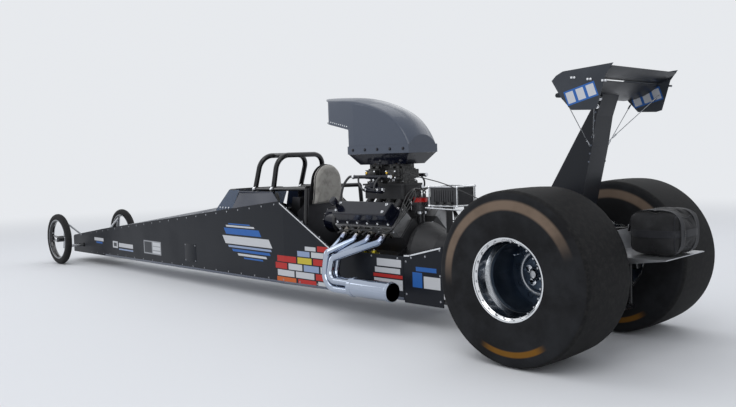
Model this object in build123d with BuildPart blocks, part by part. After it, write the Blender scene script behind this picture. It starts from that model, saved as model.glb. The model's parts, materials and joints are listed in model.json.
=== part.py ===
# Rear-engined drag racing car, in millimetres: +X to the nose, +Y left, +Z up.
# It is drawn from the rear axle (x = 0) and moved at export, so that the origin is
# on the ground under the middle of the whole car.

from build123d import *
from math import atan2, cos, radians, sin, tan
import os

# Running gear
WHEELBASE = 6350.0
REAR_TYRE_R = 457.0
REAR_TYRE_OUTER_Y = 742.0
REAR_TYRE_WIDTH = 450.0
RIM_LIP_R = 216.0
RIM_SEAT_R = 203.0
RIM_WELL_R = 182.0
RIM_WALL = 7.0
HUB_R = 62.0
SHAFT_R = 22.0
FRONT_TYRE_R = 280.0
FRONT_TYRE_WIDTH = 66.0
FRONT_TRACK_HALF = 381.0
FRONT_RIM_R = 219.0
FRONT_HUB_R = 34.0
FRONT_BORE_R = 15.0
FRONT_SPOKES = 5
RUNNING_GAP = 0.3

# Body envelope
NOSE_TIP_X = WHEELBASE + 270.0
TAIL_X = -620.0
CREASE_X = 2350.0
BODY_HALF = 318.0
NOSE_HALF = 138.0
TOP_REF_X = 2400.0
TOP_REF_Z = 780.0
TIP_TOP_Z = 303.1
BOTTOM_REF_X = 1100.0
BOTTOM_REF_Z = 165.0
TIP_BOTTOM_Z = 106.6
PANEL = 3.0
NOSE_JOINT_X = WHEELBASE - 700.0
COCKPIT_REAR_X = 2390.0
ENGINE_BAY_X = 1786.0
SILL_Z = 452.0
PANEL_REAR_X = 1108.0
QUARTER_REAR_X = 775.0

# Frame
TUBE_R = 16.0
LIGHT_TUBE_R = 11.0
CROSS_R = 14.0
TUBE_GAP = 0.4
KINK_X = 760.0
AXLE_BAY_X = 430.0
REAR_RAIL_Y = 215.0
REAR_END_X = -190.0
REAR_POST_X = REAR_END_X + TUBE_R
NOSE_POST_X = WHEELBASE - 60.0
UPPER_TIP_X = NOSE_POST_X + TUBE_R
BEND_REACH = 15.0
RAIL_TIP_X = WHEELBASE + 150.0

# Engine
CRANK_Z = 440.0
ENGINE_REAR_X = 1190.0
BLOCK_LENGTH = 600.0
DECK = 249.0
HEAD_HEIGHT = 100.0
HEAD_LENGTH = 560.0
BANK_HALF = 82.0
COVER_HEIGHT = 98.0
PORT_PITCH = 124.0
PORT_REACH = 300.0
PRIMARY_R = 24.0

TOP_SLOPE = (TOP_REF_Z - TIP_TOP_Z) / (NOSE_TIP_X - TOP_REF_X)
BOTTOM_SLOPE = (BOTTOM_REF_Z - TIP_BOTTOM_Z) / (NOSE_TIP_X - BOTTOM_REF_X)
SHIFT = (WHEELBASE + FRONT_TYRE_R + TAIL_X) / 2
FRONT_X = WHEELBASE
ENGINE_MID_X = ENGINE_REAR_X + BLOCK_LENGTH / 2


def top_z(x):
    """Height of the body's upper edge at x."""
    return TOP_REF_Z - TOP_SLOPE * (x - TOP_REF_X)


def bottom_z(x):
    """Height of the body's lower edge at x."""
    return BOTTOM_REF_Z - BOTTOM_SLOPE * (x - BOTTOM_REF_X)


def half_width(x):
    """Outer half width of the body at x."""
    share = max(0.0, x - CREASE_X) / (NOSE_TIP_X - CREASE_X)
    return BODY_HALF + (NOSE_HALF - BODY_HALF) * share


def rail_y(x):
    """Centre of a frame rail at x, just inside the side panel."""
    if x <= AXLE_BAY_X:
        return REAR_RAIL_Y
    inside = half_width(x) - PANEL - TUBE_GAP - TUBE_R
    if x < KINK_X:
        share = (x - AXLE_BAY_X) / (KINK_X - AXLE_BAY_X)
        return REAR_RAIL_Y + (inside - REAR_RAIL_Y) * share
    return inside


def low_rail_z(x):
    """Centre height of the lower rail at x."""
    return bottom_z(x) + PANEL + TUBE_GAP + TUBE_R


def save(part, name):
    """Label a finished piece and write it with the origin under the car's middle."""
    piece = part.moved(Location((-SHIFT, 0, 0)))
    piece.label = name
    export_step(piece, f"parts/{name}.step")


def tube(start, end, radius):
    """Add a straight round tube to the current part."""
    run = Vector(*end) - Vector(*start)
    with Locations(Plane(origin=start, z_dir=run).location):
        Cylinder(radius, run.length, align=(Align.CENTER, Align.CENTER, Align.MIN))


def bent_tube(points, bend, tube_radius):
    """A tube bent round the corners of a route."""
    with BuildPart() as piece:
        with BuildLine() as route:
            FilletPolyline(*points, radius=bend)
        with BuildSketch(Plane(origin=route.line @ 0, z_dir=route.line % 0)):
            Circle(tube_radius)
        sweep(path=route.line)
    return piece.part


def plate_y(outline, y0, y1):
    """A side view, as x and height, made solid from y0 to y1."""
    return slab(outline, Plane.XZ.offset(-y1), y1 - y0)


def plate_x(outline, x0, x1):
    """A front view, as y and height, made solid from x0 to x1."""
    return slab(outline, Plane.YZ.offset(x0), x1 - x0)


def both_sides(piece):
    """A left piece and its mirror image, as one part of two solids."""
    with BuildPart() as pair:
        add(piece)
        mirror(about=Plane.XZ)
    return pair.part


def slab(outline, plane, amount, both=False):
    """A flat outline, as corner points on a plane, extruded by amount."""
    with BuildPart() as piece:
        with BuildSketch(plane):
            with BuildLine():
                Polyline(*outline, close=True)
            make_face()
        extrude(amount=amount, both=both)
    return piece.part


os.makedirs("parts", exist_ok=True)

# Looking along +Y, so that a sketch's x is the car's X and its y is the height.
SIDE = Plane.XZ


# Frame: the upper rail's route, as x and height, from the tail to the nose
DASH_X = 3350.0
FORE_BAYS_X = [DASH_X + (NOSE_JOINT_X - DASH_X) * i / 4 for i in range(1, 4)]
UPPER_RAIL = [
    (REAR_END_X, 640.0),
    (120.0, 620.0),
    (AXLE_BAY_X, 575.0),
    (KINK_X, 505.0),
    (PANEL_REAR_X, SILL_Z - 26.0),
    (ENGINE_BAY_X, SILL_Z - 26.0),
    (COCKPIT_REAR_X, top_z(COCKPIT_REAR_X) - 60.0),
    (DASH_X, top_z(DASH_X) - 40.0),
    (NOSE_JOINT_X, top_z(NOSE_JOINT_X) - 30.0),
    (UPPER_TIP_X, top_z(UPPER_TIP_X) - 46.0),
]
UPPER_STOPS_X = sorted([x for x, _ in UPPER_RAIL] + [CREASE_X])
UPRIGHTS_X = [REAR_POST_X, 120.0, AXLE_BAY_X, KINK_X, PANEL_REAR_X, 1450.0, ENGINE_BAY_X,
              2100.0, COCKPIT_REAR_X, 2870.0, DASH_X, *FORE_BAYS_X, NOSE_JOINT_X, NOSE_POST_X]
LOWER_STOPS_X = [REAR_END_X, AXLE_BAY_X, KINK_X, CREASE_X, RAIL_TIP_X]


def upper_rail_z(x):
    """Centre height of the upper rail at x."""
    for (x0, z0), (x1, z1) in zip(UPPER_RAIL, UPPER_RAIL[1:]):
        if x0 <= x <= x1:
            return z0 + (z1 - z0) * (x - x0) / (x1 - x0)
    return UPPER_RAIL[-1][1]


def rail(stops_x, height, side):
    """One rail through its stops, with each corner rounded by a bend of the same reach."""
    points = [Vector(x, side * rail_y(x), height(x)) for x in stops_x]
    runs = [b - a for a, b in zip(points, points[1:])]
    turns = [a.get_angle(b) for a, b in zip(runs, runs[1:])]
    return bent_tube(points, [BEND_REACH / tan(radians(turn / 2)) for turn in turns], TUBE_R)


def side_frame(side):
    """One planar side of the tube frame: both rails and their uprights."""
    with BuildPart() as frame:
        add(rail(UPPER_STOPS_X, upper_rail_z, side))
        add(rail(LOWER_STOPS_X, low_rail_z, side))
        for x in UPRIGHTS_X:
            tube((x, side * rail_y(x), low_rail_z(x)),
                 (x, side * rail_y(x), upper_rail_z(x)), LIGHT_TUBE_R)
        tube((NOSE_POST_X, side * rail_y(NOSE_POST_X), upper_rail_z(NOSE_POST_X)),
             (RAIL_TIP_X - TUBE_R, side * rail_y(RAIL_TIP_X), low_rail_z(RAIL_TIP_X)), LIGHT_TUBE_R)
    return frame.part


for side, name in ((1, "left"), (-1, "right")):
    save(side_frame(side), f"side_frame_{name}")


# Cross members: each is x and height, and runs between the two side frames
STAND_REAR_X = 120.0
STAND_FRONT_X = 290.0
CROSS_MEMBERS = [
    (REAR_POST_X, upper_rail_z(REAR_POST_X)), (REAR_POST_X, low_rail_z(REAR_POST_X)), (STAND_REAR_X, 620.0),
    (STAND_FRONT_X, upper_rail_z(STAND_FRONT_X)), (STAND_REAR_X, low_rail_z(STAND_REAR_X)),
    (AXLE_BAY_X, low_rail_z(AXLE_BAY_X)),
    (COCKPIT_REAR_X, low_rail_z(COCKPIT_REAR_X)), (2870.0, low_rail_z(2870.0)),
    (DASH_X, low_rail_z(DASH_X)), (DASH_X, upper_rail_z(DASH_X)),
    (FORE_BAYS_X[1], low_rail_z(FORE_BAYS_X[1])), (FORE_BAYS_X[1], upper_rail_z(FORE_BAYS_X[1])),
    (NOSE_JOINT_X, low_rail_z(NOSE_JOINT_X)), (NOSE_JOINT_X, upper_rail_z(NOSE_JOINT_X)),
]

with BuildPart() as cross_members:
    for x, z in CROSS_MEMBERS:
        reach = rail_y(x) - TUBE_R - 2 * RUNNING_GAP
        tube((x, -reach, z), (x, reach, z), CROSS_R)
save(cross_members.part, "cross_members")

# Outlines used by several panels, seen from the side as x and height
def strip(x0, x1):
    """Plan view of one left side skin from x0 to x1, folded at the crease."""
    stations = [x0] + [x for x in (CREASE_X,) if x0 < x < x1] + [x1]
    outer = [(x, half_width(x)) for x in stations]
    inner = [(x, half_width(x) - PANEL) for x in reversed(stations)]
    return outer + inner


def side_skin(outline, x0, x1, side):
    """A vertical body panel: its side view cut from the folded plan strip."""
    with BuildPart() as piece:
        add(slab(strip(x0, x1), Plane.XY, 1000.0))
        add(slab(outline, SIDE, 1000.0, both=True), mode=Mode.INTERSECT)
    return piece.part if side > 0 else mirror(piece.part, about=Plane.XZ)


SIDE_OUTLINE = [
    (PANEL_REAR_X, bottom_z(PANEL_REAR_X)),
    (NOSE_JOINT_X, bottom_z(NOSE_JOINT_X)),
    (NOSE_JOINT_X, top_z(NOSE_JOINT_X)),
    (COCKPIT_REAR_X, top_z(COCKPIT_REAR_X)),
    (ENGINE_BAY_X, SILL_Z),
    (PANEL_REAR_X, SILL_Z),
]
QUARTER_OUTLINE = [
    (QUARTER_REAR_X, bottom_z(PANEL_REAR_X) - 12),
    (PANEL_REAR_X - PANEL, bottom_z(PANEL_REAR_X) - 12),
    (PANEL_REAR_X - PANEL, SILL_Z + 14),
    (1051.0, SILL_Z + 18),
    (793.0, 533.0),
    (QUARTER_REAR_X, 536.0),
]

for outline, x0, x1, name in ((SIDE_OUTLINE, PANEL_REAR_X, NOSE_JOINT_X, "side_panels"),
                              (QUARTER_OUTLINE, QUARTER_REAR_X, PANEL_REAR_X - PANEL, "rear_panels")):
    with BuildPart() as skins:
        for side in (1, -1):
            add(side_skin(outline, x0, x1, side))
    save(skins.part, name)


# Floor: a sheet under the rails, between the side panels
with BuildPart() as belly_pan:
    plan = [(PANEL_REAR_X, half_width(PANEL_REAR_X)), (CREASE_X, half_width(CREASE_X)),
            (NOSE_JOINT_X, half_width(NOSE_JOINT_X))]
    inset = [(x, y - PANEL - RUNNING_GAP) for x, y in plan]
    add(slab(inset + [(x, -y) for x, y in reversed(inset)], Plane.XY, 400.0))
    under = [(PANEL_REAR_X, bottom_z(PANEL_REAR_X)), (NOSE_JOINT_X, bottom_z(NOSE_JOINT_X))]
    sheet = under + [(x, z + PANEL) for x, z in reversed(under)]
    add(slab(sheet, SIDE, 1000.0, both=True), mode=Mode.INTERSECT)
save(belly_pan.part, "belly_pan")


# Nose: a hollow wedge with a rounded tip, open at the back and at the axle
def wedge(x0, inset):
    """The nose's outer form from x0 forward, drawn in by inset on every side."""
    tip_x = NOSE_TIP_X - inset
    top0, low0 = top_z(x0) - inset, bottom_z(x0) + inset
    tip_low = bottom_z(tip_x) + 12.0 + inset
    with BuildPart() as piece:
        with BuildSketch(SIDE):
            with BuildLine():
                Line((x0, low0), (tip_x - 70.0, bottom_z(tip_x - 70.0) + inset))
                Line((tip_x - 70.0, bottom_z(tip_x - 70.0) + inset), (tip_x, tip_low + 20.0))
                Line((tip_x, tip_low + 20.0), (tip_x, tip_low + 60.0))
                RadiusArc((tip_x, tip_low + 60.0), (tip_x - 120.0, top_z(tip_x - 120.0) - inset - 18.0), -260.0)
                Line((tip_x - 120.0, top_z(tip_x - 120.0) - inset - 18.0), (x0, top0))
                Line((x0, top0), (x0, low0))
            make_face()
        extrude(amount=400.0, both=True)
        y0 = half_width(x0) - inset
        y1 = half_width(NOSE_TIP_X - 90.0) - inset
        plan = [(x0, y0), (NOSE_TIP_X - 90.0, y1), (tip_x, y1 - 48.0)]
        add(slab(plan + [(x, -y) for x, y in reversed(plan)], Plane.XY, 600.0), mode=Mode.INTERSECT)
    return piece.part


# Top deck: a crowned sheet between the side panels, open over the cockpit
DECK_REAR_X = 3060.0
DECK_CROWN = 56.0
NOSE_CROWN = 9.0


def crowned(x, crown, depth, lift=0.0):
    """Section of the deck at x: an arched strip of a given depth between the side panels."""
    half = half_width(x) - PANEL - RUNNING_GAP
    z = top_z(x) - PANEL + lift
    with BuildSketch(Plane.YZ.offset(x)) as section:
        with BuildLine():
            ThreePointArc((-half, z), (0, z + crown), (half, z))
            Line((half, z), (half, z - depth))
            ThreePointArc((half, z - depth), (0, z + crown - depth), (-half, z - depth))
            Line((-half, z - depth), (-half, z))
        make_face()
    return section.sketch


COCKPIT_FRONT_X = 3372.0
COCKPIT_HALF = 228.0
COCKPIT_CORNER = 60.0

with BuildPart() as top_deck:
    add(crowned(DECK_REAR_X, DECK_CROWN, PANEL))
    add(crowned(NOSE_JOINT_X, NOSE_CROWN, PANEL))
    loft()
    with BuildSketch(Plane.XY.offset(300.0)) as opening:
        with Locations((DECK_REAR_X - 100.0, 0.0)):
            Rectangle(2 * (COCKPIT_FRONT_X - DECK_REAR_X + 100.0), 2 * COCKPIT_HALF)
        fillet(opening.vertices(), COCKPIT_CORNER)
    extrude(amount=700.0, mode=Mode.SUBTRACT)
save(top_deck.part, "top_deck")


# Cockpit surround: one flat plate a side, leaning in to a rolled rim
COWL_WALL = 4.0
COWL_LEAN = 20.0
COWL_REAR_X = (2410.0, 2500.0)
COWL_FRONT_X = (3065.0, 2990.0)
RIM_Z = 842.0
RIM_R = 6.0


def body_edge(x, inset, lift):
    """A point beside the left body edge at x, inset from the skin and lifted over it."""
    return Vector(x, half_width(x) - inset, top_z(x) + lift)


def sheet_between(corners, wall):
    """A flat sheet whose outer face goes round the corners, with its wall behind that face."""
    a, b, c = corners[:3]
    plane = Plane(origin=a, x_dir=b - a, z_dir=(b - a).cross(c - a))
    outline = [plane.to_local_coords(corner) for corner in corners]
    return slab([(p.X, p.Y) for p in outline], plane, -wall)


with BuildPart() as cockpit_cowl:
    feet = [body_edge(x, PANEL / 2, 2 * RUNNING_GAP) for x in (COWL_REAR_X[0], COWL_FRONT_X[0])]
    rims = [Vector(x, half_width(x) - PANEL / 2 - COWL_LEAN, RIM_Z) for x in (COWL_REAR_X[1], COWL_FRONT_X[1])]
    add(sheet_between([feet[1], feet[0], rims[0], rims[1]], COWL_WALL))
    tube(tuple(rims[0] - Vector(0, RIM_R, 0)), tuple(rims[1] - Vector(0, RIM_R, 0)), RIM_R)
    mirror(about=Plane.XZ)
save(cockpit_cowl.part, "cockpit_cowl")


# Windscreen: one clear sheet, folded at two corners and bowed between them
SCREEN_WALL = 3.0
SCREEN_BASE = {"rear": (3130.0, 270.0), "corner": (3420.0, 246.0), "middle": 3462.0, "z": 640.0}
SCREEN_BROW = {"rear": (2996.0, 252.0), "corner": (3172.0, 232.0), "middle": 3206.0, "z": 857.0}


def screen_section(place):
    """A thin U seen from above, open at the back, with a bowed front."""
    (rear_x, rear_half), (side_x, side_half), front_x = place["rear"], place["corner"], place["middle"]
    t = SCREEN_WALL
    with BuildSketch(Plane.XY.offset(place["z"])) as section:
        with BuildLine():
            Line((rear_x, -rear_half), (side_x, -side_half))
            ThreePointArc((side_x, -side_half), (front_x, 0), (side_x, side_half))
            Polyline((side_x, side_half), (rear_x, rear_half), (rear_x, rear_half - t), (side_x - t, side_half - t))
            ThreePointArc((side_x - t, side_half - t), (front_x - t, 0), (side_x - t, -side_half + t))
            Polyline((side_x - t, -side_half + t), (rear_x, -rear_half + t), (rear_x, -rear_half))
        make_face()
    return section.sketch


with BuildPart() as deck_form:
    add(crowned(DECK_REAR_X, DECK_CROWN, 300.0, RUNNING_GAP))
    add(crowned(NOSE_JOINT_X, NOSE_CROWN, 300.0, RUNNING_GAP))
    loft()

with BuildPart() as windscreen:
    add(screen_section(SCREEN_BASE))
    add(screen_section(SCREEN_BROW))
    loft()
    add(deck_form.part, mode=Mode.SUBTRACT)
save(windscreen.part, "windscreen")


# Roll cage: two hoops over the driver, tied fore and aft, on the upper rails
CAGE_R = 20.0
CAGE_TOP = 1128.0
CAGE_HALF = 234.0
CAGE_CORNER = 105.0
HOOPS = [(2600.0, 2490.0), (2860.0, 2700.0)]
SHOULDER_Z = 866.0
CAGE_REAR_X = 2110.0


def cage_foot(x):
    """Where a cage tube stands on the upper rail at x."""
    return upper_rail_z(x) + TUBE_R + RUNNING_GAP + 9.0


def hoop_x(foot_x, top_x, z):
    """Where a leaning hoop is at height z."""
    low = cage_foot(foot_x)
    return foot_x + (top_x - foot_x) * (z - low) / (CAGE_TOP - low)


with BuildPart() as roll_cage:
    for foot_x, top_x in HOOPS:
        z = cage_foot(foot_x)
        foot_y = rail_y(foot_x) - 14.0
        route = [(foot_x, foot_y, z), (hoop_x(foot_x, top_x, SHOULDER_Z), CAGE_HALF, SHOULDER_Z),
                 (top_x, CAGE_HALF, CAGE_TOP)]
        route += [(x, -y, height) for x, y, height in reversed(route)]
        add(bent_tube(route, [40.0, CAGE_CORNER, CAGE_CORNER, 40.0], CAGE_R))
    for side in (1, -1):
        rear_x = hoop_x(*HOOPS[0], SHOULDER_Z)
        front_x = hoop_x(*HOOPS[1], SHOULDER_Z)
        tube((rear_x, side * CAGE_HALF, SHOULDER_Z), (front_x, side * CAGE_HALF, SHOULDER_Z), TUBE_R)
        tube((CAGE_REAR_X, side * 270.0, SHOULDER_Z + 12), (rear_x, side * CAGE_HALF, SHOULDER_Z), TUBE_R)
        tube((CAGE_REAR_X, side * 270.0, SHOULDER_Z + 12),
             (CAGE_REAR_X, side * (rail_y(CAGE_REAR_X) - 6), cage_foot(CAGE_REAR_X)), TUBE_R)
        tube((HOOPS[0][1], side * 110.0, CAGE_TOP), (HOOPS[1][1], side * 110.0, CAGE_TOP), TUBE_R)
save(roll_cage.part, "roll_cage")


# Firewall behind the seat, with the arch that backs the driver's head
FIREWALL_X = 2210.0
ARCH_HALF = 140.0
ARCH_TOP = 1050.0

with BuildPart() as firewall:
    wall = rail_y(FIREWALL_X) - TUBE_R - 2 * RUNNING_GAP
    low = bottom_z(FIREWALL_X) + PANEL + RUNNING_GAP
    with BuildSketch(Plane.YZ.offset(FIREWALL_X)):
        with BuildLine():
            Line((-wall, low), (wall, low))
            Line((wall, low), (wall, 700.0))
            Line((wall, 700.0), (ARCH_HALF + 30.0, 790.0))
            Line((ARCH_HALF + 30.0, 790.0), (ARCH_HALF, 930.0))
            ThreePointArc((ARCH_HALF, 930.0), (0, ARCH_TOP), (-ARCH_HALF, 930.0))
            Line((-ARCH_HALF, 930.0), (-ARCH_HALF - 30.0, 790.0))
            Line((-ARCH_HALF - 30.0, 790.0), (-wall, 700.0))
            Line((-wall, 700.0), (-wall, low))
        make_face()
    extrude(amount=PANEL)
save(firewall.part, "firewall")


# Padded shroud on the back of the firewall's arch
SHROUD_DEPTH = 55.0

with BuildPart() as head_shroud:
    with BuildSketch(Plane.YZ.offset(FIREWALL_X - RUNNING_GAP)):
        with BuildLine():
            half = ARCH_HALF + 22.0
            Line((-half, 735.0), (half, 735.0))
            Line((half, 735.0), (ARCH_HALF, 930.0))
            ThreePointArc((ARCH_HALF, 930.0), (0, ARCH_TOP + 10.0), (-ARCH_HALF, 930.0))
            Line((-ARCH_HALF, 930.0), (-half, 735.0))
        make_face()
    extrude(amount=-SHROUD_DEPTH)
    fillet(head_shroud.faces().sort_by(Axis.X)[0].edges(), 20.0)
save(head_shroud.part, "head_shroud")


# Seat: a bucket bent from one sheet, with side bolsters and a headrest hump
SEAT_HALF = 210.0
SEAT_WALL = 4.0
SEAT_BOLSTER = 95.0

with BuildPart() as seat:
    low = low_rail_z(COCKPIT_REAR_X) + CROSS_R + RUNNING_GAP
    with BuildSketch(SIDE):
        with BuildLine():
            FilletPolyline((2268.0, 806.0), (2322.0, low + SEAT_WALL / 2), (2700.0, low + SEAT_WALL / 2),
                           (2952.0, low + 150.0), radius=70.0)
        trace(line_width=SEAT_WALL)
    extrude(amount=SEAT_HALF, both=True)
    bolster = [(2268.0, 806.0), (2322.0, low + SEAT_WALL / 2), (2700.0, low + SEAT_WALL / 2),
               (2952.0, low + 150.0), (2920.0, low + 232.0), (2690.0, low + SEAT_BOLSTER), (2474.0, low + 1.3 * SEAT_BOLSTER),
               (2356.0, 806.0)]
    for side in (1, -1):
        add(plate_y(bolster, side * (SEAT_HALF - SEAT_WALL / 2) - SEAT_WALL / 2,
                    side * (SEAT_HALF - SEAT_WALL / 2) + SEAT_WALL / 2))
save(seat.part, "seat")


# Steering column and its wheel
COLUMN_TOP = Vector(2985.0, 0.0, 742.0)
DASH_BAR = Vector(DASH_X, 0.0, upper_rail_z(DASH_X))
COLUMN_DIR = (COLUMN_TOP - DASH_BAR).normalized()
COLUMN_FOOT = DASH_BAR + COLUMN_DIR * (CROSS_R + RUNNING_GAP)
COLUMN_R = 14.0

with BuildPart() as steering_column:
    tube(tuple(COLUMN_FOOT), tuple(COLUMN_TOP), COLUMN_R)
save(steering_column.part, "steering_column")

with BuildPart() as steering_wheel:
    face = Plane(origin=COLUMN_TOP + COLUMN_DIR * RUNNING_GAP, x_dir=(0, 1, 0), z_dir=COLUMN_DIR)
    with BuildSketch(face):
        Circle(34.0)
    extrude(amount=16.0)
    with BuildSketch(face.offset(6.0)):
        Rectangle(250.0, 30.0)
    extrude(amount=6.0)
    for end in (1, -1):
        with Locations(face.offset(9.0).location * Location((end * 125.0, 0, 0), (90, 0, 0))):
            Cylinder(14.0, 130.0)
save(steering_wheel.part, "steering_wheel")


# Engine: directions across one cylinder bank, as y and height
BANK = 45.0
UP = (sin(radians(BANK)), cos(radians(BANK)))
OUT = (cos(radians(BANK)), -sin(radians(BANK)))


def bank_point(rise, across):
    """A point rise above the crank along the left bank and across it."""
    return (rise * UP[0] + across * OUT[0], CRANK_Z + rise * UP[1] + across * OUT[1])


with BuildPart() as engine_block:
    half_view = [(0.0, 212.0), (92.0, 212.0), (110.0, 300.0), (150.0, 330.0), (150.0, 450.0),
                 bank_point(DECK, BANK_HALF), bank_point(DECK, -BANK_HALF), (50.0, 610.0), (0.0, 610.0)]
    add(plate_x(half_view, ENGINE_REAR_X, ENGINE_REAR_X + BLOCK_LENGTH))
    mirror(about=Plane.XZ)
save(engine_block.part, "engine_block")


def on_bank(rise0, rise1, half, length):
    """A block on the left bank, from rise0 to rise1 above the crank."""
    corners = [bank_point(rise0, -half), bank_point(rise0, half), bank_point(rise1, half),
               bank_point(rise1, -half)]
    return plate_x(corners, ENGINE_MID_X - length / 2, ENGINE_MID_X + length / 2)


HEAD_TOP = DECK + RUNNING_GAP + HEAD_HEIGHT
save(both_sides(on_bank(DECK + RUNNING_GAP, HEAD_TOP, BANK_HALF, HEAD_LENGTH)), "cylinder_heads")

COVER_RIM = 14.0
COVER_LENGTH = HEAD_LENGTH - 10.0


def along_bank(rise):
    """A plane across the left bank, rise above the crank, with its x along the engine."""
    y, z = bank_point(rise, 0.0)
    return Plane(origin=(ENGINE_MID_X, y, z), x_dir=(1, 0, 0), z_dir=(0, *UP))


with BuildPart() as valve_cover:
    foot = HEAD_TOP + RUNNING_GAP
    with BuildSketch(along_bank(foot)):
        RectangleRounded(COVER_LENGTH, 2 * BANK_HALF - 12.0, 16.0)
    extrude(amount=COVER_RIM)
    with BuildSketch(along_bank(foot + COVER_RIM)):
        RectangleRounded(COVER_LENGTH - 24.0, 2 * BANK_HALF - 36.0, 14.0)
    extrude(amount=COVER_HEIGHT - 2 * COVER_RIM, taper=4.0)
    with BuildSketch(along_bank(foot + COVER_HEIGHT - COVER_RIM)):
        RectangleRounded(COVER_LENGTH - 34.0, 2 * BANK_HALF - 46.0, 14.0)
    extrude(amount=COVER_RIM)
    fillet(valve_cover.faces().sort_by(Axis((0, 0, 0), (0, *UP)))[-1].edges(), 10.0)
save(both_sides(valve_cover.part), "valve_covers")


# Motor plates: front and rear sheets that hang the engine on the frame
PLATE = 6.0
FRONT_PLATE_X = ENGINE_REAR_X + BLOCK_LENGTH + RUNNING_GAP
REAR_PLATE_X = ENGINE_REAR_X - PLATE - RUNNING_GAP

with BuildPart() as motor_plates:
    reach = rail_y(ENGINE_REAR_X) - TUBE_R - RUNNING_GAP
    for x in (FRONT_PLATE_X, REAR_PLATE_X):
        wing = [(0.0, 250.0), (140.0, 250.0), (190.0, 330.0), (reach, 396.0), (reach, 456.0),
                (190.0, 500.0), (120.0, 560.0), (0.0, 560.0)]
        add(plate_x(wing, x, x + PLATE))
        mirror(plate_x(wing, x, x + PLATE), about=Plane.XZ)
save(motor_plates.part, "motor_plates")


# Front drive: timing cover, crank pulley and the pump on the left
DRUM_R = 98.0
DRUM_AT = (112.0, 642.0)
DRUM_LENGTH = 215.0

with BuildPart() as front_drive:
    cover_x = FRONT_PLATE_X + PLATE + RUNNING_GAP
    cover = [(-95.0, 330.0), (95.0, 330.0), (120.0, 480.0), (60.0, 600.0), (-60.0, 600.0), (-120.0, 480.0)]
    add(plate_x(cover, cover_x, cover_x + 45.0))
    with BuildSketch(Plane.YZ.offset(cover_x + 45.0)):
        with Locations((0.0, CRANK_Z)):
            Circle(84.0)
    extrude(amount=30.0)
    with BuildSketch(Plane.YZ.offset(cover_x + 75.0)):
        with Locations((0.0, CRANK_Z)):
            Circle(62.0)
    extrude(amount=36.0)
    with BuildSketch(Plane.YZ.offset(cover_x)):
        with BuildLine():
            Polyline((20.0, 470.0), (110.0, 470.0), (DRUM_AT[0] + 60.0, DRUM_AT[1]), (DRUM_AT[0] - 60.0, DRUM_AT[1]),
                     close=True)
        make_face()
    extrude(amount=30.0)
    for start, length, radius in ((8.0, 52.0, DRUM_R - 14.0), (60.0, DRUM_LENGTH - 60.0, DRUM_R)):
        with BuildSketch(Plane.YZ.offset(cover_x + start)):
            with Locations(DRUM_AT):
                Circle(radius)
        extrude(amount=length)
    fillet(front_drive.faces().sort_by(Axis.X)[-1].edges(), 14.0)
save(front_drive.part, "front_drive")


# Intake: tunnel ram with a plenum over the valley
INTAKE_X = (1300.0, 1690.0)
PLENUM_TOP = 905.0

PLENUM_LOW = 800.0
PLENUM_HALF = 92.0
RUNNER_R = 25.0
INTAKE_PORT = DECK + 48.0

with BuildPart() as intake_manifold:
    face = -(BANK_HALF + RUNNING_GAP)
    valley = [(0.0, 622.0), (46.0, 622.0), bank_point(DECK + 8, face), bank_point(DECK + 88, face),
              bank_point(DECK + 88, face - 22), (0.0, 668.0)]
    add(plate_x(valley, *INTAKE_X))
    mirror(about=Plane.XZ)
    with BuildSketch(Plane.XY.offset(PLENUM_LOW)):
        with Locations((sum(INTAKE_X) / 2, 0)):
            RectangleRounded(INTAKE_X[1] - INTAKE_X[0], 2 * PLENUM_HALF, 26.0)
    extrude(amount=PLENUM_TOP - PLENUM_LOW - 12.0)
    with BuildSketch(Plane.XY.offset(PLENUM_TOP - 12.0)):
        with Locations((sum(INTAKE_X) / 2, 0)):
            RectangleRounded(INTAKE_X[1] - INTAKE_X[0] + 20.0, 2 * PLENUM_HALF + 20.0, 20.0)
    extrude(amount=12.0)
    for i in range(4):
        x = sum(INTAKE_X) / 2 + (1.5 - i) * 96.0
        port_y, port_z = bank_point(INTAKE_PORT, face - 10.0)
        for side in (1, -1):
            tube((x, side * 58.0, PLENUM_LOW + 8.0), (x, side * port_y, port_z), RUNNER_R)
save(intake_manifold.part, "intake_manifold")


# Carburettors under the scoop, with the tapered air tray
CARB_X = (1595.0, 1395.0)
TRAY_LOW = 1040.0
TRAY_TOP = 1115.0

BARREL_HALF = 59.0
BOWL_REACH = 118.0


def carburettor(x):
    """One four-barrel carburettor at x, with a float bowl on either side."""
    low, high = PLENUM_TOP + RUNNING_GAP, TRAY_LOW - RUNNING_GAP
    middle = (Align.CENTER, Align.CENTER, Align.MIN)
    with BuildPart() as piece:
        with Locations((x, 0, low)):
            Box(148.0, 148.0, 16.0, align=middle)
            Box(2 * BARREL_HALF, 2 * BARREL_HALF, high - low, align=middle)
        for side in (1, -1):
            with Locations((x, side * (BARREL_HALF + 9.0), low + 30.0)):
                Box(112.0, 18.0, 74.0, align=middle)
            with BuildPart(mode=Mode.PRIVATE) as bowl:
                with Locations((x, side * (BARREL_HALF + BOWL_REACH) / 2 + side * 9.0, low + 34.0)):
                    Box(104.0, BOWL_REACH - BARREL_HALF - 18.0, 62.0, align=middle)
                fillet(bowl.faces().sort_by(Axis.Y)[-1 if side > 0 else 0].edges(), 8.0)
            add(bowl.part)
        with Locations((x, 0, high - 14.0)):
            Cylinder(72.0, 14.0, align=middle)
    return piece.part


with BuildPart() as carburettors:
    for x in CARB_X:
        add(carburettor(x))
save(carburettors.part, "carburettors")

SCOOP_HALF = 140.0
SCOOP_REAR_X = 1200.0
SCOOP_FOOT_X = 1783.0

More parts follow.
